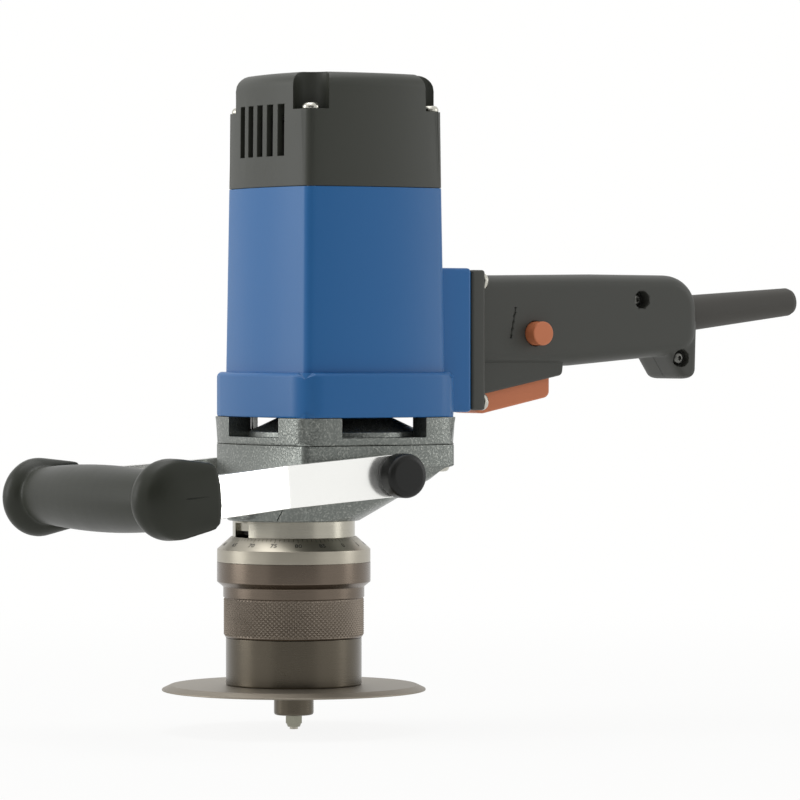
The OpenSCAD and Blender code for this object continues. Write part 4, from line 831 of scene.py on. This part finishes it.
black_handle = moulded_finish("black_handle", srgb(63, 64, 59), rough=0.48, grain=2100.0,
                              depth=0.00004, sheen=0.4)
GRIP_X, HANDLE_END, GRIP_TOP, GRIP_LOW = 0.0937, 0.2366, 0.2087, 0.1617
HOOK_Z, HOOK_TOP = 0.1547, 0.1917
GRIP_HALF, HOOK_HALF, SWITCH_HALF, TRIGGER_HALF = 0.019, 0.0165, 0.016, 0.0123
FLANGE_LOW_Z, FLANGE_HIGH_Z = 0.1396, 0.2104
GRIP_PROFILE = [(SOCKET_X + 0.002, GRIP_LOW, 0), (0.158, GRIP_LOW, 0.03), (0.2355, 0.168, 0.012),
                (HANDLE_END, 0.1847, 0), (HANDLE_END, GRIP_TOP, 0.018),
                (0.172, GRIP_TOP + 0.0003, 0.03), (SOCKET_X + 0.002, GRIP_TOP - 0.0009, 0)]
HOOK_PROFILE = [(0.2268, HOOK_Z, 0.004), (0.2357, HOOK_Z, 0.005), (HANDLE_END, 0.1847, 0),
                (0.225, HOOK_TOP, 0), (0.202, HOOK_TOP, 0)]
SWITCH_PROFILE = [(SOCKET_X + 0.004, 0.1457, 0), (0.105, 0.1478, 0.004), (0.1515, 0.1570, 0.0025),
                  (0.1525, 0.1655, 0.002), (SOCKET_X + 0.004, 0.172, 0)]
SHELL_SCREWS, SCREW_SEAT, PAST_SHELL = ((0.1989, 0.1959), (0.2258, 0.1655)), 0.012, 0.03
NEAR_WELL, FAR_HOLE = 0.0046, 0.0032
TRIGGER_START, TRIGGER_END, TRIGGER_LOW, TRIGGER_ROOF = GRIP_X + 0.0025, 0.1475, 0.13, 0.1675
BUTTON_X, BUTTON_Z, BUTTON_RADIUS = 0.1327, 0.1784, 0.0061
MARK_X, MARK_Z, MARK_TILT, MARK_HALF = 0.1189, 0.1838, 11, 0.0078
CORD_Z, CORD_TILT, CORD_RADIUS = 0.1887, math.radians(5.4), 0.0094
aim = Vector((math.cos(CORD_TILT), 0, math.sin(CORD_TILT)))
mouth = Vector((HANDLE_END, 0, CORD_Z))
grip_body = melted(merged(both_sides(GRIP_PROFILE, GRIP_HALF, 0.0095, 0.0062, 7)
                          + both_sides(HOOK_PROFILE, HOOK_HALF, 0.006, 0.0018, 5)), 0.0007, 6)
for side, name, stands_for in ((-1, "handle_near", "handle_shell_near"),
                               (1, "handle_far", "handle_shell_far")):
    grip, switch, flange_plate = handle_half(side)
    openings = [box((TRIGGER_START, min(0, side * TRIGGER_HALF) - 0.0001, TRIGGER_LOW),
                    (TRIGGER_END, max(0, side * TRIGGER_HALF) + 0.0001, TRIGGER_ROOF))]
    openings += [rod((x, side * SCREW_SEAT, z), (x, side * PAST_SHELL, z),
                     NEAR_WELL if side < 0 else FAR_HOLE) for x, z in SHELL_SCREWS]
    if side < 0:
        openings.append(rod((BUTTON_X, 0.001, BUTTON_Z), (BUTTON_X, -PAST_SHELL, BUTTON_Z),
                            BUTTON_RADIUS + 0.0003))
        mark = box((-0.0002, -GRIP_HALF - 0.001, -MARK_HALF),
                   (0.0002, -GRIP_HALF + 0.0003, MARK_HALF))
        openings.append(moved(mark, shift(MARK_X, 0, MARK_Z) @ rotate(MARK_TILT, "Y")))
    openings.append(rod(mouth - aim * 0.014, mouth + aim * 0.02, CORD_RADIUS - 0.001))
    piece(name, grip, "housing", black_handle, [stands_for],
          joins(switch, flange_plate) + cuts(*openings), broken=0.0003)

# Handle screws: four plated screws through the flange into the motor housing, and two blackened
# ones deep in the near shell that close the handle.
FLANGE_SCREW_LENGTH, SHELL_SCREW = 0.02, (0.018, 0.002, 0.0035, 0.0026)
FLANGE_SCREWS = [(sy * 0.027, z) for sy in (-1, 1) for z in (0.1439, 0.2047)]
TO_THE_NEAR_SIDE = rotate(90, "X")
piece("handle_screws", placed_screws(screw_mesh(FLANGE_SCREW_LENGTH), [
    shift(GRIP_X, y, z) @ rotate(90, "Y") for y, z in FLANGE_SCREWS]),
    "housing", zinc, ["flange_screws"])
piece("shell_screw_heads", placed_screws(screw_mesh(*SHELL_SCREW), [
    shift(x, -SCREW_SEAT, z) @ TO_THE_NEAR_SIDE for x, z in SHELL_SCREWS]),
    "housing", dark_screw, ["shell_screws"])

# Cord sleeve: a soft black rubber sleeve that keeps the mains lead from kinking. A collar holds it
# between the handle shells. The spindle's seal is of the same rubber.
sleeve_rubber = moulded_finish("sleeve_rubber", srgb(62, 60, 55), rough=0.62, grain=1500.0,
                               depth=0.00004)
SLEEVE_LENGTH, SLEEVE_TIP, CORD_HOLE, SLEEVE_ROOT = 0.0729, 0.0074, 0.0045, -0.014
cord_sleeve = turned([(CORD_HOLE, SLEEVE_ROOT), (CORD_RADIUS - 0.0012, SLEEVE_ROOT),
                      (CORD_RADIUS - 0.0012, 0.0024), (CORD_RADIUS, 0.0024), (CORD_RADIUS, 0.004),
                      (SLEEVE_TIP, SLEEVE_LENGTH - 0.0034),
                      (SLEEVE_TIP - 0.001, SLEEVE_LENGTH - 0.0011),
                      (SLEEVE_TIP - 0.003, SLEEVE_LENGTH), (CORD_HOLE, SLEEVE_LENGTH)],
                     0.001, 64, 4)
moved(cord_sleeve, Matrix.Translation(mouth) @ aim.to_track_quat("Z", "Y").to_matrix().to_4x4())
piece("cord_sleeve_rubber", cord_sleeve, "housing", sleeve_rubber, ["cord_sleeve"])
finished(sleeve_rubber, "spindle_seal")
finished(inner_plastic, "cord_clamp")

# Trigger: a broad orange paddle under the handle, hung on a pin by the flange and pushed down by
# its spring. It works the switch inside the handle.
orange = moulded_finish("orange_plastic", srgb(208, 122, 80), rough=0.5, grain=2400.0,
                        depth=0.00002)
PADDLE_HALF, PIN_X, PIN_Z, PIN_RADIUS, PIN_HALF = 0.012, 0.1017, 0.1547, 0.0016, 0.02
SPRING_X, SPRING_LOW, SPRING_HIGH, SPRING_RADIUS = 0.1297, 0.1497, 0.17, 0.0034
PADDLE = [(0.0972, 0.1497, 0), (0.1007, 0.1380, 0.004), (0.1057, 0.1376, 0.002),
          (0.1461, 0.1459, 0.0035), (0.1461, 0.1577, 0.002), (0.1077, 0.1577, 0.002),
          (0.0972, 0.1577, 0.002)]
near, far = [rounded_side(side_profile(PADDLE), PADDLE_HALF, 0.0015, 0.0015, 3) for _ in range(2)]
piece("paddle", near, "trigger", orange, ["trigger"],
      joins(other_side(far))
      + cuts(rod((PIN_X, -PIN_HALF, PIN_Z), (PIN_X, PIN_HALF, PIN_Z), PIN_RADIUS),
             bore(SPRING_X, SPRING_LOW, SPRING_HIGH, SPRING_RADIUS)))
finished(inner_plastic, "switch_body")
finished(spring_steel, "trigger_pin", "trigger_spring")

# Lock button: a round button in the trigger's orange plastic, on a spring in the near shell. It is
# pressed in to hold the trigger on.
BUTTON_FACE, BUTTON_BACK, STEM_RADIUS, STEM_END = GRIP_HALF + 0.0073, 0.008, 0.003, 0.0045
button = turned([(0, STEM_END), (STEM_RADIUS, STEM_END), (STEM_RADIUS, BUTTON_BACK),
                 (BUTTON_RADIUS, BUTTON_BACK), (BUTTON_RADIUS, BUTTON_FACE), (0, BUTTON_FACE)],
                0.0007, 64, 4)
moved(button, shift(BUTTON_X, 0, BUTTON_Z) @ TO_THE_NEAR_SIDE)
piece("button", button, "lock_button", orange, ["lock_button"])
finished(spring_steel, "lock_spring")


# Front handle: a bow of two flat steel straps clamped to the gear case, joined by a rubber grip
# that is moulded on their ends, with a bulb at each end to keep the hand in place.
def rubber_finish(name, colour, sheen):
    """Smooth moulded rubber: satin, with the faint waviness of a hand-polished mould."""
    material, sock = start_finish(name)
    wave, fine = noise(sock, 60.0, 2.0), noise(sock, 2600.0, 2.0)
    shaded(sock, {"Base Color": mixed(sock, wave, colour, tinted(colour, 1.25)),
                  "Roughness": 0.3 + wave * 0.1 + fine * 0.06, "Specular IOR Level": sheen,
                  "Normal": bumped(sock, 0.5, 0.00002, fine + wave * 4.0)})
    return material


def ball(bm, x, y, radii):
    """Adds a flattened ball to bm, at the height of the grip's axis."""
    bmesh.ops.create_uvsphere(bm, u_segments=48, v_segments=28, radius=1,
                              matrix=shift(x, y, 0) @ Matrix.Diagonal((*radii, 1)))


def bulb(side):
    """The end of the grip: a flattened ball drawn out to the strap."""
    bm = bmesh.new()
    ball(bm, -REACH, BULB_Y - 0.0006, (BULB_RADIUS, 0.0118, BULB_RADIUS))
    ball(bm, 0.002 - REACH, 0.0722, (BULB_RADIUS - 0.001, 0.0064, BULB_RADIUS - 0.0003))
    for x, half_z, near, far in BULB_NECK:
        for y in (near, far):
            for z in (-half_z, half_z):
                bm.verts.new((x, y, z))
    wrapped(bm)
    if side < 0:
        bmesh.ops.scale(bm, vec=(1, -1, 1), verts=bm.verts)
    bmesh.ops.translate(bm, verts=bm.verts, vec=(0, 0, -side * GRIP_LEAN))
    return bm


grip_rubber = rubber_finish("grip_rubber", srgb(43, 45, 38), 0.22)
REACH, GRIP_Y, GRIP_RADIUS, GRIP_SWELL, GRIP_LEAN = 0.136, 0.0675, 0.0132, 0.0033, 0.0013
BULB_Y, BULB_RADIUS = 0.0672, 0.0197
BULB_NECK = ((-0.1160, 0.0160, 0.0605, 0.0752), (-0.1140, 0.0132, 0.0600, 0.0770),
             (-0.1128, 0.006, 0.0600, 0.0772))
TILTED = shift(PIVOT_X, 0, PIVOT_Z) @ rotate(-4.4, "Y")
ACROSS = rotate(90, "X")
swelling = [(GRIP_RADIUS + GRIP_SWELL * (1 - (n / 8) ** 2), n * GRIP_Y / 8) for n in range(-8, 9)]
barrel_grip = turned([(0, -GRIP_Y)] + swelling + [(0, GRIP_Y)], 0.0002, 64)
moved(barrel_grip, shift(-REACH, 0, 0) @ ACROSS)
moulding = melted(merged([barrel_grip, bulb(1), bulb(-1)]), 0.0008, 10)
seam = box((-0.1325, -0.09, 0.0013), (-0.118, -0.0777, 0.0019))
piece("grip_moulding", moved(bm_of(moulding), TILTED), "front_handle", grip_rubber,
      ["front_grip"], cuts(moved(seam, TILTED)), sharp=60)

# Straps: flat bright-rolled steel bars, joggled outwards to the grip and rounded at the pivot,
# where the clamp studs go through them.
bright_strap = metal_finish("bright_strap", srgb(255, 255, 252), srgb(250, 250, 246), rough=0.17,
                            turning=60.0, metallic=0.8)
STRAP_END, STRAP_IN, STRAP_WIDE, STRAP_T, STRAP_H = 0.0105, 0.0495, 0.0645, 0.005, 0.021
JOGGLE_NEAR, JOGGLE_FAR, STRAP_TIP, STUD_HOLE = -0.062, -0.112, -0.142, 0.0041
STRAP_PATH = [(STRAP_END, STRAP_IN, 0), (STRAP_END, STRAP_IN + STRAP_T, 0),
              (JOGGLE_NEAR, STRAP_IN + STRAP_T, 0.008), (JOGGLE_FAR, STRAP_WIDE + STRAP_T, 0.008),
              (STRAP_TIP, STRAP_WIDE + STRAP_T, 0), (STRAP_TIP, STRAP_WIDE, 0),
              (JOGGLE_FAR, STRAP_WIDE, 0.012), (JOGGLE_NEAR, STRAP_IN, 0.012)]
straps = []
for side in (-1, 1):
    strap = side_profile(STRAP_PATH)
    made = bmesh.ops.extrude_face_region(strap, geom=strap.faces[:])["geom"]
    bmesh.ops.translate(strap, verts=verts_of(made), vec=(0, STRAP_H, 0))
    moved(strap, shift(0, 0, -STRAP_H / 2) @ ACROSS)
    ends = [e for e in strap.edges if all(v.co.x > STRAP_END - 0.0001 for v in e.verts)
            and abs(e.verts[0].co.z - e.verts[1].co.z) < 1e-6]
    bmesh.ops.bevel(strap, geom=ends, offset=STRAP_END - 0.0001, segments=12, profile=0.5,
                    affect="EDGES", material=-1, clamp_overlap=True)
    if side < 0:
        bmesh.ops.scale(strap, vec=(1, -1, 1), verts=strap.verts)
    straps.append(strap)
stud_hole = rod((0, -0.08, 0), (0, 0.08, 0), STUD_HOLE)
piece("straps", moved(merged(straps), TILTED), "front_handle", bright_strap,
      ["front_straps"], cuts(moved(stud_hole, TILTED)), broken=0.0005)

# Clamp knobs: black plastic knobs moulded on steel studs, which are screwed through the straps into
# the bosses of the gear case and hold the front handle at its angle.
black_knob = rubber_finish("black_knob", srgb(16, 17, 15), 0.3)
KNOB_RADIUS, KNOB_IN, KNOB_OUT, STUD_END, STUD_RADIUS = 0.011, 0.0548, 0.066, 0.0352, 0.004
for side, name in ((-1, "knob_near"), (1, "knob_far")):
    knob = turned([(0, STUD_END), (STUD_RADIUS, STUD_END), (STUD_RADIUS, KNOB_IN),
                   (KNOB_RADIUS - 0.0016, KNOB_IN), (KNOB_RADIUS - 0.0016, KNOB_IN + 0.0012),
                   (KNOB_RADIUS, KNOB_IN + 0.0012), (KNOB_RADIUS, KNOB_OUT - 0.0024),
                   (KNOB_RADIUS - 0.0008, KNOB_OUT - 0.0009),
                   (KNOB_RADIUS - 0.0028, KNOB_OUT - 0.0001), (0, KNOB_OUT)], 0.0006, 64, 3)
    moved(knob, TILTED @ rotate(-side * 90, "X"))
    piece(name + "_moulding", knob, name, black_knob, [name], sharp=50)
